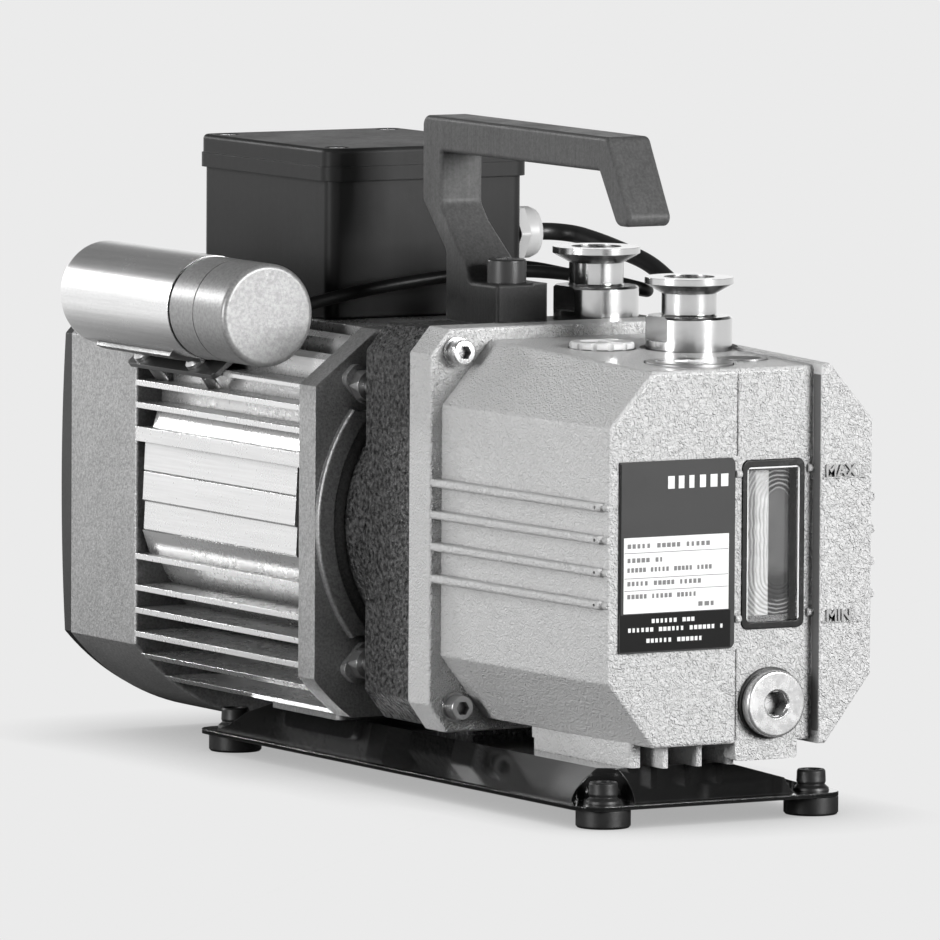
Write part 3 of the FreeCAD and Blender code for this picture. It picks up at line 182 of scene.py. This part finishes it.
def surface(name, base, rough, metal=0.0, bumps=(), mottle=0.06, speckle=0.0, speckle_size=0.5,
            streak=None, corner_shade=0.35, edge=0.25, edge_gain=1.35, bevel=0.35, coat=0.0, spec=0.5,
            rough_var=0.12, tint=(1.0, 1.0, 1.0), scratches=0.0, reach=7.0, face_relief=1.0, bottom_shade=None):
    """Procedural finish: colour drift, speckle, brushed streaks, painted shade towards the bottom, painted
    shade in corners, worn edges that also carry painted highlights, relief.
    """
    g = Graph(name)
    bsdf = g.add("ShaderNodeBsdfPrincipled")
    g.link(bsdf.outputs[0], g.out.inputs["Surface"])

    def tinted(gain, lift):
        return tuple(min(1.0, base * gain * t + lift) for t in tint) + (1.0,)

    # tone of the base colour
    broad = g.noise(BROAD, 4.0, 0.6)
    fine = g.noise(FINE, 5.0, 0.65)
    tone = g.math("MULTIPLY_ADD", broad, 2.0 * mottle, 1.0 - mottle)
    if speckle:
        dots = g.noise(speckle_size, 2.0, 0.6)
        tone = g.math("MULTIPLY", tone, g.ramp(dots, 0.35, 0.65, 1.0 - speckle, 1.0 + speckle))
    # painted shade: the colour darkens towards the bottom of the part
    if bottom_shade:
        low, high, left = bottom_shade
        z = g.split(g.place())[2]
        tone = g.math("MULTIPLY", tone, g.ramp(z, low, high, left, 1.0))
    if streak:
        axis, amount, width = streak
        lines = g.noise(width, 4.0, 0.7, along(axis))
        tone = g.math("MULTIPLY", tone, g.ramp(lines, 0.3, 0.7, 1.0 - amount, 1.0 + amount))
    colour = g.mix(1.0, tuple(base * t for t in tint) + (1.0,), g.grey_of(tone), "MULTIPLY")

    # worn edges that also carry painted highlights, scratches, and painted shade in corners
    soft = g.add("ShaderNodeBevel", samples=4)
    soft.inputs["Radius"].default_value = bevel * MM
    normal = soft.outputs[0]
    face_normal = g.add("ShaderNodeNewGeometry").outputs["Normal"]
    # lighter edges: partly real wear, partly painted highlight along the edges
    if edge:
        dot = g.add("ShaderNodeVectorMath", operation="DOT_PRODUCT")
        g.link(normal, dot.inputs[0])
        g.link(face_normal, dot.inputs[1])
        worn_lit_rim = g.ramp(dot.outputs["Value"], FLAT_DOT, EDGE_DOT)
        worn_lit_rim = g.math("MULTIPLY", worn_lit_rim, g.ramp(fine, 0.38, 0.62, 0.35 * edge, edge))
        colour = g.mix(worn_lit_rim, colour, tinted(edge_gain, 0.02))
    if scratches:
        nicks = g.noise(1.1, 2.0, 0.5, (0.05, 1.0, 0.6))
        colour = g.mix(g.ramp(nicks, 0.68, 0.74, 0.0, scratches), colour, tinted(1.5, 0.03))
    # painted shade: colour darkened in corners and recesses, where the occlusion test finds nearby surfaces
    if corner_shade:
        shade = g.ramp(g.occlusion(reach * MM, 4), 0.1, 0.85, 1.0 - corner_shade, 1.0)
        colour = g.mix(1.0, colour, g.grey_of(shade), "MULTIPLY")
    g.link(colour, bsdf.inputs["Base Color"])

    # gloss
    bsdf.inputs["Metallic"].default_value = metal
    bsdf.inputs["Specular IOR Level"].default_value = spec
    if coat:
        bsdf.inputs["Coat Weight"].default_value = coat
        bsdf.inputs["Coat Roughness"].default_value = COAT_ROUGHNESS
    drift = g.math("MULTIPLY_ADD", fine, 2.0 * rough_var, rough - rough_var)
    slow = g.ramp(broad, 0.3, 0.7, -0.5 * rough_var, 0.5 * rough_var)
    g.link(g.math("MAXIMUM", g.math("ADD", drift, slow), 0.03), bsdf.inputs["Roughness"])

    # relief, weaker away from the front where face_relief is under 1
    for kind, size, height in bumps:
        field = g.relief(kind, size)
        if face_relief < 1.0:
            facing = g.split(face_normal)[1]
            field = g.math("MULTIPLY", field, g.ramp(facing, -0.75, -0.95, face_relief, 1.0))
        normal = g.bump(field, height, normal)
    g.link(normal, bsdf.inputs["Normal"])
    return g.mat


def window_pane(name):
    """Clear pane: see-through with a sharp reflection, a faint oil film and fine wipe marks."""
    g = Graph(name)
    film = g.noise(6.0, 3.0, 0.6)
    clear = g.add("ShaderNodeBsdfTransparent")
    g.link(g.mix(g.ramp(film, 0.35, 0.7), grey(0.97), grey(0.86)), clear.inputs["Color"])
    sheen = g.add("ShaderNodeBsdfGlossy")
    sheen.inputs["Color"].default_value = grey(0.9)
    g.link(g.ramp(film, 0.3, 0.7, 0.03, 0.09), sheen.inputs["Roughness"])
    g.link(g.bump(g.noise(1.6, 2.0, 0.5), 0.01), sheen.inputs["Normal"])
    mirror = g.add("ShaderNodeFresnel")
    mirror.inputs["IOR"].default_value = 1.49
    pane = g.mix_shaders(mirror.outputs[0], clear.outputs[0], sheen.outputs[0])
    g.link(pane, g.out.inputs["Surface"])
    return g.mat


def oil_mirror(name):
    """Moulded reflector behind the pane: rippled rings with painted glints, a bright upright strip that is a
    painted reflection, dark oil low on the right.
    """
    ring_x, ring_z, ring_straight = 23.5, 94.0, 12.0
    ring_turn = 4.4                 # radians per millimetre across the rings
    # edges of the bright upright strip, a painted reflection
    reflection_left, reflection_right = (14.2, 15.0), (19.8, 19.4)
    oil_top, oil_bottom, oil_right = (86.5, 82.5), (73.5, 75.5), (31.0, 29.6)

    g = Graph(name)
    bsdf = g.add("ShaderNodeBsdfPrincipled")
    g.link(bsdf.outputs[0], g.out.inputs["Surface"])
    x, _, z = g.split(g.place())
    wobble = g.noise(5.0, 2.0, 0.5)

    # distance from an upright stadium gives the rings
    dx = g.math("SUBTRACT", x, ring_x)
    dz = g.math("ABSOLUTE", g.math("SUBTRACT", z, ring_z))
    dz = g.math("MAXIMUM", g.math("SUBTRACT", dz, ring_straight), 0.0)
    dist = g.math("SQRT", g.math("ADD", g.math("MULTIPLY", dx, dx), g.math("MULTIPLY", dz, dz)))
    phase = g.math("MULTIPLY", g.math("ADD", dist, g.math("MULTIPLY", wobble, 1.6)), ring_turn)
    rings = g.math("SINE", phase)
    spread = g.math("MAXIMUM", g.ramp(dist, 3.6, 5.2), g.ramp(z, 75.5, 73.5))
    lines = g.math("MULTIPLY", g.ramp(rings, 0.15, 0.75), spread)
    right = g.ramp(x, 19.4, 19.8)
    base = g.mix(right, grey(0.42), grey(0.14))
    base = g.mix(g.math("MULTIPLY", lines, g.ramp(right, 0.0, 1.0, 0.35, 0.95)), base, grey(0.012))
    # painted highlights: light glints along the ring troughs
    painted_glints = g.math("MULTIPLY", g.ramp(rings, -0.55, -0.95), g.math("MULTIPLY", spread, 0.8))
    base = g.mix(painted_glints, base, grey(0.62))

    # painted reflection: bright upright strip
    reflection_strip = g.math("MULTIPLY", g.ramp(x, *reflection_left), g.ramp(x, *reflection_right))
    base = g.mix(g.math("MULTIPLY", reflection_strip, 0.85), base, grey(0.92))
    level = g.math("ADD", z, g.math("MULTIPLY", wobble, 4.0))
    oil = g.math("MULTIPLY", g.ramp(level, *oil_top), g.ramp(level, *oil_bottom))
    oil = g.math("MULTIPLY", oil, g.math("MULTIPLY", right, g.ramp(x, *oil_right)))
    base = g.mix(g.math("MULTIPLY", oil, 0.93), base, grey(0.008))

    g.link(base, bsdf.inputs["Base Color"])
    bsdf.inputs["Specular IOR Level"].default_value = 0.12
    bsdf.inputs["Roughness"].default_value = 0.4
    g.link(g.bump(g.math("MULTIPLY", rings, spread), 0.15), bsdf.inputs["Normal"])
    return g.mat


# ---------------------------------------------------------------- finishes
def fine_grain(size, height):
    return (("noise", size, height),)


# painted, cast and extruded metal
CASE = surface(
    "case_paint", 0.66, 0.40, bumps=(("worms", 1.45, 1.5), ("noise", 0.6, 0.18)), mottle=0.025,
    corner_shade=0.5, edge=0.45, edge_gain=1.15, bevel=0.6, spec=0.45, coat=0.2, rough_var=0.06,
    reach=6.0, face_relief=0.5)
# raised letters in a darker grey than the case paint: painted shade standing in for the shadows of the relief
SHADED_LETTER = surface(
    "raised_letter_shaded", 0.34, 0.45, bumps=fine_grain(0.9, 0.03), mottle=0.04, corner_shade=0.3, edge=0.6,
    edge_gain=2.2, bevel=0.2, reach=3.0)
SHADE = surface(
    "step_shade", 0.12, 0.5, bumps=fine_grain(0.8, 0.05), mottle=0.03, corner_shade=0.2, edge=0.0, bevel=0.1)
HOUSING = surface(
    "housing_paint", 0.072, 0.34, bumps=(("noise", 1.5, 2.2), ("cells", 1.8, 1.0)), mottle=0.15,
    speckle=0.95, speckle_size=1.6, corner_shade=0.5, edge=0.0, bevel=0.5)
CAST = surface(
    "cast_aluminium", 0.40, 0.44, 0.6, bumps=(("noise", 0.8, 0.14), ("noise", 3.0, 0.12)),
    mottle=0.16, speckle=0.22, speckle_size=0.9, corner_shade=0.85, edge=0.5, edge_gain=1.4, bevel=0.6,
    reach=16.0)
EXTRUDED = surface(
    "extruded_aluminium", 0.84, 0.28, 0.70, bumps=(("y", 0.5, 0.02),), mottle=0.03,
    streak=("y", 0.08, 0.9), corner_shade=0.9, edge=0.3, edge_gain=1.05, bevel=0.3, rough_var=0.04,
    reach=6.5)
CAN = surface(
    "can_aluminium", 0.84, 0.26, 0.97, bumps=(("y", 0.6, 0.006),), mottle=0.04,
    streak=("y", 0.06, 1.2), speckle=0.03, speckle_size=0.9, corner_shade=0.7, edge=0.4, edge_gain=1.2,
    bevel=0.5, rough_var=0.03)
CAP = surface(
    "cap_aluminium", 0.32, 0.36, 0.35, bumps=fine_grain(0.9, 0.05), mottle=0.04, speckle=0.15,
    speckle_size=1.1, corner_shade=0.7, edge=0.4, edge_gain=1.2, bevel=0.5, rough_var=0.04)
GRIP = surface(
    "handle_paint", 0.092, 0.40, spec=0.16, bumps=(("noise", 0.8, 0.06), ("z", 1.4, 0.05)),
    mottle=0.12, speckle=0.14, speckle_size=1.0, streak=("z", 0.14, 1.6), corner_shade=0.55, edge=0.6,
    edge_gain=4.0, bevel=0.9, reach=10.0, bottom_shade=(166.0, 192.0, 0.12))
TRAY = surface(
    "tray_enamel", 0.008, 0.11, bumps=(("noise", 7.0, 0.05), ("noise", 0.8, 0.006)), mottle=0.10,
    corner_shade=0.2, edge=0.7, edge_gain=14.0, bevel=0.6, coat=0.8, rough_var=0.03, scratches=0.1)

# bright and dark steel
PORT = surface(
    "port_steel", 0.62, 0.17, 1.0, bumps=(("z", 0.5, 0.004),), mottle=0.03, corner_shade=0.6, edge=0.3,
    edge_gain=1.1, bevel=0.25, rough_var=0.04, reach=5.0)
FILLER = surface(
    "filler_steel", 0.42, 0.38, 0.8, bumps=fine_grain(1.4, 0.04), mottle=0.08, corner_shade=0.8, edge=0.4,
    bevel=0.3, reach=3.0)
PLUG = surface(
    "plug_steel", 0.58, 0.28, 0.75, bumps=fine_grain(0.6, 0.01), mottle=0.05, corner_shade=0.85, edge=0.4,
    edge_gain=1.2, bevel=0.25, reach=3.5)
SCREW = surface(
    "screw_steel", 0.62, 0.30, 0.95, bumps=fine_grain(0.7, 0.02), mottle=0.10, corner_shade=0.95, edge=0.5,
    edge_gain=1.4, bevel=0.2, reach=3.0)
BRACKET = surface(
    "bracket_steel", 0.20, 0.36, 0.8, bumps=fine_grain(0.8, 0.03), mottle=0.1, corner_shade=0.9, edge=0.4,
    edge_gain=1.6, bevel=0.3, reach=6.0)
DARK_SCREW = surface(
    "black_screw", 0.035, 0.34, 0.3, bumps=fine_grain(0.6, 0.02), corner_shade=0.4, edge=0.5,
    edge_gain=3.0, bevel=0.25)

# plastic and rubber
BOX = surface(
    "black_plastic", 0.026, 0.42, spec=0.12, bottom_shade=(158.0, 196.0, 0.2), bumps=fine_grain(0.55, 0.03),
    mottle=0.08, streak=("z", 0.06, 3.0), corner_shade=0.3, edge=0.4, edge_gain=3.0, bevel=0.5,
    rough_var=0.08)
COVER = surface(
    "cover_plastic", 0.016, 0.45, bumps=fine_grain(0.6, 0.03), mottle=0.08, corner_shade=0.3, edge=0.3,
    edge_gain=2.4, bevel=0.5)
GLAND = surface(
    "gland_plastic", 0.58, 0.36, bumps=fine_grain(1.2, 0.02), mottle=0.03, corner_shade=0.5, edge=0.2,
    edge_gain=1.1, bevel=0.5, reach=4.0)
KNOB = surface(
    "knob_plastic", 0.70, 0.34, bumps=fine_grain(1.0, 0.02), mottle=0.04, corner_shade=0.7, edge=0.3,
    edge_gain=1.2, bevel=0.4, reach=4.0)
LEAD = surface(
    "lead_sheath", 0.004, 0.45, spec=0.2, bumps=fine_grain(1.4, 0.02), mottle=0.1, corner_shade=0.2,
    edge=0.0, bevel=0.3)
RUBBER = surface(
    "foot_rubber", 0.012, 0.42, bumps=fine_grain(1.0, 0.03), mottle=0.15, corner_shade=0.2, edge=0.35,
    edge_gain=3.5, bevel=0.5)
SEAL = surface(
    "seal_rubber", 0.008, 0.45, bumps=fine_grain(0.8, 0.02), corner_shade=0.2, edge=0.1, bevel=0.3)
SHEATH = surface(
    "cable_sheath", 0.012, 0.40, bumps=fine_grain(1.4, 0.02), mottle=0.1, corner_shade=0.2, edge=0.0,
    bevel=0.3)
FRAME = surface(
    "frame_plastic", 0.012, 0.24, spec=0.3, bumps=fine_grain(1.2, 0.01), corner_shade=0.4, edge=0.5,
    edge_gain=8.0, bevel=0.5, reach=4.0)

# rating plate
PLATE = surface(
    "label_dark", 0.034, 0.36, spec=0.25, bumps=fine_grain(1.0, 0.008), mottle=0.05, corner_shade=0.2,
    edge=0.5, edge_gain=4.0, bevel=0.25)
DARK_BAND = surface(
    "label_band", 0.006, 0.40, spec=0.10, bumps=fine_grain(1.0, 0.005), mottle=0.05, corner_shade=0.0,
    edge=0.0, bevel=0.1)
FIELD = surface(
    "label_field", 0.84, 0.40, bumps=fine_grain(1.4, 0.006), mottle=0.03, corner_shade=0.1, edge=0.0,
    bevel=0.1)
PRINT = surface(
    "label_print", 0.16, 0.5, bumps=fine_grain(1.0, 0.005), mottle=0.2, corner_shade=0.0, edge=0.0,
    bevel=0.1)

# inner parts
IRON = surface(
    "ground_iron", 0.34, 0.40, 1.0, bumps=fine_grain(0.9, 0.02), mottle=0.12, corner_shade=0.5, edge=0.3,
    bevel=0.3)
SHAFT = surface(
    "shaft_steel", 0.62, 0.26, 1.0, bumps=(("x", 0.5, 0.01),), mottle=0.06, corner_shade=0.4, edge=0.3,
    bevel=0.3)
RESIN = surface(
    "vane_resin", 0.16, 0.50, bumps=fine_grain(0.7, 0.02), mottle=0.15, corner_shade=0.3, edge=0.2,
    bevel=0.3, tint=(1.0, 0.78, 0.5))
LAMINATED = surface(
    "laminations", 0.32, 0.45, 1.0, bumps=fine_grain(0.8, 0.02), streak=("x", 0.2, 0.5), corner_shade=0.5,
    edge=0.2, bevel=0.2)
COPPER = surface(
    "copper_windings", 0.62, 0.35, 1.0, bumps=(("x", 0.6, 0.10),), mottle=0.10, corner_shade=0.6, edge=0.1,
    bevel=0.4, tint=(1.0, 0.52, 0.28))
SPIDER = surface(
    "spider_plastic", 0.40, 0.38, bumps=fine_grain(1.0, 0.02), corner_shade=0.3, edge=0.1, bevel=0.4,
    tint=(1.0, 0.18, 0.12))
MESH = surface(
    "filter_mesh", 0.50, 0.40, 1.0, bumps=(("cells", 0.8, 0.20),), speckle=0.3, speckle_size=0.5,
    corner_shade=0.5, edge=0.2, bevel=0.3)
PANE = window_pane("glass")
MIRROR = oil_mirror("oil_reflector")

SLOT_LOOKS = {
    "case_paint": CASE,
    "housing_paint": HOUSING,
    "cast_aluminium": CAST,
    "extruded_aluminium": EXTRUDED,
    "can_aluminium": CAN,
    "bright_steel": PORT,
    "plug_steel": PLUG,
    "screw_steel": SCREW,
    "black_screw": DARK_SCREW,
    "black_plastic": BOX,
    "cover_plastic": COVER,
    "gland_plastic": GLAND,
    "knob_plastic": KNOB,
    "tray_paint": TRAY,
    "handle_paint": GRIP,
    "foot_rubber": RUBBER,
    "seal_rubber": SEAL,
    "cable_rubber": SHEATH,
    "glass": PANE,
    "frame_plastic": FRAME,
    "label": PLATE,
    "pump_iron": IRON,
    "shaft_steel": SHAFT,
    "vane_resin": RESIN,
    "spring_steel": SHAFT,
    "lamination_steel": LAMINATED,
    "copper": COPPER,
    "spider_plastic": SPIDER,
    "filter_mesh": MESH,
}
NODE_LOOKS = {
    "capacitor_lead": LEAD,
    "capacitor_cap": CAP,
    "capacitor_bracket": BRACKET,
    "filler_plug": FILLER,
    "top_plug": FILLER,
}
for part in frame["record"]["subparts"]:
    mesh = nodes[part["node"]].data
    mesh.materials.clear()
    mesh.materials.append(NODE_LOOKS.get(part["node"], SLOT_LOOKS[part["material_slot"]]))


# ---------------------------------------------------------------- added pieces
def piece(name, parts, material):
    """One added piece on the pump body, joined from boxes given in millimetres."""
    verts, faces = [], []
    for part_verts, part_faces in parts:
        base = len(verts)
        verts += part_verts
        faces += [tuple(i + base for i in face) for face in part_faces]
    mesh = bpy.data.meshes.new(name)
    mesh.from_pydata([Vector(v) * MM for v in verts], [], faces)
    mesh.materials.append(material)
    mesh.update()
    obj = bpy.data.objects.new(name, mesh)
    bpy.context.scene.collection.objects.link(obj)
    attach(obj, BODY)


def slab(x0, x1, y0, y1, z0, z1):
    """Vertices and faces of one box, in millimetres."""
    verts = [(x, y, z) for x in (x0, x1) for y in (y0, y1) for z in (z0, z1)]
    faces = [(0, 1, 3, 2), (4, 6, 7, 5), (0, 4, 5, 1), (2, 3, 7, 6), (0, 2, 6, 4), (1, 5, 7, 3)]
    return verts, faces


def lettering(name, text, location):
    """Raised level mark on the case front, facing -Y."""
    curve = bpy.data.curves.new(name, "FONT")
    curve.body = text
    curve.size = 5.6 * MM
    curve.extrude = 0.3 * MM
    curve.bevel_depth = 0.12 * MM
    curve.bevel_resolution = 1
    curve.offset = 0.05 * MM
    curve.materials.append(SHADED_LETTER)
    obj = bpy.data.objects.new(name, curve)
    bpy.context.scene.collection.objects.link(obj)
    obj.location = Vector(location) * MM
    obj.rotation_euler = (math.radians(90), 0, 0)
    bpy.context.view_layer.update()
    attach(obj, BODY)


def edges_of(node):
    """Lower and upper corner of a node's box, in millimetres."""
    lo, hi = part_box(node)
    return lo / MM, hi / MM


def dashes(start, end, low, high, pitch, face_y, skip):
    """One row of print-like dashes of uneven length, with every skip-th one left out."""
    out, at, count = [], start, 0
    while at < end:
        width = pitch * (0.45 + 0.3 * abs(math.sin(12.9 * count + low)))
        if count % skip != skip - 1:
            out.append(slab(at, min(at + width, end), face_y - 0.05, face_y, low, high))
        at += pitch
        count += 1
    return out


# oil level marks
CASE_FACE = edges_of("oil_case")[0].y
lettering("mark_max", "MAX", (35.8, CASE_FACE + 0.12, 114.4))
lettering("mark_min", "MIN", (36.4, CASE_FACE + 0.12, 66.0))

# rating plate: white field, dark foot band, rules with rows of dashes, bars in place of lettering
plate_lo, plate_hi = edges_of("rating_plate")
face = plate_lo.y
skin = face - 0.001
x0, x1 = plate_lo.x, plate_hi.x
z0, z1 = plate_lo.z, plate_hi.z
FIELD_LOW, FIELD_HIGH = 13.2, 38.4
FIELD_FACE, BAND_FACE = face - 0.081, face - 0.071
field_top = z0 + FIELD_HIGH

white = slab(x0 + 1.6, x1 - 2.4, face - 0.08, skin, z0 + FIELD_LOW, field_top)
piece("label_field", [white], FIELD)

foot = slab(x0 + 0.25, x1 - 1.6, face - 0.07, skin, z0 + 0.5, z0 + 12.9)
# dark strip down the left edge of the plate: painted shadow
left_shadow = slab(x0 + 0.05, x0 + 0.55, face - 0.07, skin, z0 + 13.0, z1 - 0.7)
piece("label_foot", [foot, left_shadow], DARK_BAND)

RULE_DROPS = (5.0, 13.4, 17.5)
# drop below the top of the field, start, length and pitch of the dashes
PRINT_ROWS = (
    (1.9, 3.0, 0.92, 1.9), (6.6, 3.0, 0.36, 1.8), (9.8, 3.0, 0.88, 1.5),
    (14.3, 3.0, 0.8, 1.7), (18.6, 3.0, 0.74, 1.6), (22.0, 30.5, 0.16, 2.4),
)
ROW_LENGTH = 37.0
rules = []
for drop in RULE_DROPS:
    rules.append(slab(x0 + 1.9, x1 - 2.7, face - 0.13, FIELD_FACE, field_top - drop - 0.22, field_top - drop))
for drop, offset, share, pitch in PRINT_ROWS:
    low = field_top - drop - 1.7
    start = x0 + offset
    rules += dashes(start, start + ROW_LENGTH * share, low, low + 1.5, pitch, FIELD_FACE, 6)
piece("label_rules", rules, PRINT)

bars = dashes(x0 + 18.5, x1 - 2.8, z1 - 9.4, z1 - 5.2, 4.1, skin, 9)
for drop, left, right in ((3.4, 12.5, 29.0), (6.2, 3.4, 40.5), (9.9, 10.5, 32.5)):
    low = z0 + FIELD_LOW - drop
    bars += dashes(x0 + left, x0 + right, low, z0 + 14.6 - drop, 1.7, BAND_FACE, 7)
piece("label_bars", bars, FIELD)

# shaded step wall and the faint mould line beside the sight glass
STEP_X = 34.2
piece("step_band", [slab(STEP_X - 0.14, STEP_X - 0.002, CASE_FACE + 0.9, CASE_FACE + 5.05, 29.5, 148.5)],
      SHADE)
piece("mould_line", [slab(4.75, 5.1, CASE_FACE + 4.86, CASE_FACE + 5.01, low, high)
                     for low, high in ((122.4, 149.6), (27.5, 58.0))], CASE)

# painted highlight: light strips just inside the sight glass bezel, on both sides and along the top
bezel_lo, bezel_hi = edges_of("sight_glass_frame")
ex0, ex1 = bezel_lo.x + 1.75, bezel_hi.x - 1.75
ez0, ez1 = bezel_lo.z + 2.3, bezel_hi.z - 2.3
ey = bezel_lo.y + 0.3
rim_highlight_sides = [slab(left, right, ey, ey + 0.5, ez0, ez1)
              for left, right in ((ex0, ex0 + 0.45), (ex1 - 0.45, ex1))]
rim_highlight_top = slab(ex0, ex1, ey, ey + 0.5, ez1 - 0.5, ez1)
piece("glass_rim_highlight", rim_highlight_sides + [rim_highlight_top], FIELD)

# reflector behind the sight glass
glass_lo, glass_hi = edges_of("sight_glass")
piece("sight_reflector", [slab(glass_lo.x + 2.7, glass_hi.x - 2.7, glass_hi.y + 0.05, glass_hi.y + 0.8,
                               glass_lo.z + 3.7, glass_hi.z - 3.7)], MIRROR)


# ---------------------------------------------------------------- floor and lights
def floor_material():
    """Plain pale floor, evenly lit to the camera, with a soft painted contact shadow; in reflections it
    glows, with painted shade near the pump and painted light far off.
    """
    g = Graph("floor")
    path = g.add("ShaderNodeLightPath")
    contact = g.ramp(g.occlusion(0.05, 8), 0.0, 1.0, 0.45, 1.0)
    to_camera = g.emission(0.831, contact)
    plain = g.add("ShaderNodeBsdfDiffuse")
    plain.inputs["Color"].default_value = grey(0.08)
    # in reflections the floor glows: painted shade near the pump, painted light far off
    far = g.add("ShaderNodeVectorMath", operation="LENGTH")
    g.link(g.place(), far.inputs[0])
    reflected_glow = g.emission(1.0, g.ramp(far.outputs["Value"], 260.0, 760.0, 0.03, 0.95))
    rest = g.mix_shaders(path.outputs["Is Glossy Ray"], plain.outputs[0], reflected_glow)
    g.link(g.mix_shaders(path.outputs["Is Camera Ray"], rest, to_camera), g.out.inputs["Surface"])
    return g.mat


def floor(half):
    mesh = bpy.data.meshes.new("floor")
    corners = [(-half, -half, 0), (half, -half, 0), (half, half, 0), (-half, half, 0)]
    mesh.from_pydata(corners, [], [(0, 1, 2, 3)])
    mesh.materials.append(floor_material())
    obj = bpy.data.objects.new("floor", mesh)
    bpy.context.scene.collection.objects.link(obj)


def area_light(name, at, size, power):
    """Rectangular light, aimed at the middle of the pump."""
    data = bpy.data.lights.new(name, "AREA")
    data.shape = "RECTANGLE"
    data.size, data.size_y = size
    data.energy = power
    obj = bpy.data.objects.new(name, data)
    obj.location = at
    aim = Vector((0.0, 0.03, 0.11)) - Vector(at)
    obj.rotation_euler = aim.to_track_quat("-Z", "Y").to_euler()
    bpy.context.scene.collection.objects.link(obj)


floor(30.0)
area_light("key", (0.9, -2.3, 0.70), (0.9, 0.9), 76.0)
area_light("left_fill", (-2.4, -0.35, 0.50), (0.9, 0.7), 37.0)
area_light("back_left", (-0.86, 2.12, 0.72), (0.40, 0.20), 11.0)


# ---------------------------------------------------------------- surroundings
# brightness all the way round, from behind the camera: dark there, bright walls with slots elsewhere
AROUND = (
    (0.0, 0.10), (0.10, 0.10), (0.125, 0.95), (0.20, 0.95), (0.215, 0.08), (0.24, 0.08),
    (0.255, 0.9), (0.30, 0.95), (0.312, 0.06), (0.365, 0.06), (0.39, 1.15), (0.60, 1.15),
    (0.65, 1.05), (0.86, 1.05), (0.89, 0.10), (1.0, 0.10),
)
# brightness from straight down to straight up: dim overhead
UPWARD = ((0.0, 0.8), (0.50, 1.0), (0.585, 1.0), (0.64, 0.22), (0.90, 0.10), (1.0, 0.22))
CAMERA_BEARING = 120.4


def studio_world():
    world = bpy.data.worlds.new("studio")
    bpy.context.scene.world = world
    world.use_nodes = True
    tree = world.node_tree
    tree.nodes.clear()

    def add(kind, **props):
        node = tree.nodes.new(kind)
        for key, value in props.items():
            setattr(node, key, value)
        return node

    def scaled(source, factor, offset):
        node = add("ShaderNodeMath", operation="MULTIPLY_ADD")
        tree.links.new(source, node.inputs[0])
        node.inputs[1].default_value = factor
        node.inputs[2].default_value = offset
        return node.outputs[0]

    def brightness(source, stops):
        node = add("ShaderNodeValToRGB")
        tree.links.new(source, node.inputs[0])
        ends = node.color_ramp.elements
        for end, (at, value) in ((ends[0], stops[0]), (ends[1], stops[-1])):
            end.position, end.color = at, grey(value)
        for at, value in stops[1:-1]:
            ends.new(at).color = grey(value)
        return node.outputs[0]

    split = add("ShaderNodeSeparateXYZ")
    tree.links.new(add("ShaderNodeTexCoord").outputs["Generated"], split.inputs[0])
    bearing = add("ShaderNodeMath", operation="ARCTAN2")
    tree.links.new(split.outputs["Y"], bearing.inputs[0])
    tree.links.new(split.outputs["X"], bearing.inputs[1])
    wrap = add("ShaderNodeMath", operation="FRACT")
    turns = scaled(bearing.outputs[0], 1.0 / (2.0 * math.pi), CAMERA_BEARING / 360.0 + 1.0)
    tree.links.new(turns, wrap.inputs[0])

    both = add("ShaderNodeMix", data_type="RGBA", blend_type="MULTIPLY")
    both.inputs[0].default_value = 1.0
    tree.links.new(brightness(wrap.outputs[0], AROUND), both.inputs[6])
    tree.links.new(brightness(scaled(split.outputs["Z"], 0.5, 0.5), UPWARD), both.inputs[7])
    back = add("ShaderNodeBackground")
    back.inputs["Strength"].default_value = 1.0
    tree.links.new(both.outputs[2], back.inputs["Color"])
    tree.links.new(back.outputs[0], add("ShaderNodeOutputWorld").inputs["Surface"])


studio_world()


# ---------------------------------------------------------------- camera at the photo's viewing angle
def photo_camera(azimuth, elevation, roll, distance, lens, target, shift):
    """Camera that looks at target from the given angles, then moves by shift across and up."""
    a, e, r = (math.radians(v) for v in (azimuth, elevation, roll))
    back = Vector((math.sin(a) * math.cos(e), -math.cos(a) * math.cos(e), math.sin(e)))
    right = Vector((math.cos(a), math.sin(a), 0.0))
    up = back.cross(right)
    data = bpy.data.cameras.new("camera")
    data.lens = lens
    data.sensor_width = 36.0
    data.clip_start, data.clip_end = 0.05, 200.0
    obj = bpy.data.objects.new("camera", data)
    bpy.context.scene.collection.objects.link(obj)
    across = right * math.cos(r) - up * math.sin(r)
    high = right * math.sin(r) + up * math.cos(r)
    turn = Matrix((across, high, back)).transposed()
    place = Vector(target) + back * distance + right * shift[0] + up * shift[1]
    obj.matrix_world = Matrix.Translation(place) @ turn.to_4x4()
    bpy.context.scene.camera = obj


photo_camera(azimuth=-30.395, elevation=5.281, roll=-0.348, distance=4.18688, lens=471.1,
             target=(0.0085, -0.0095, 0.1053), shift=(-0.028863, 0.001625))
bpy.context.scene.view_settings.view_transform = "Standard"
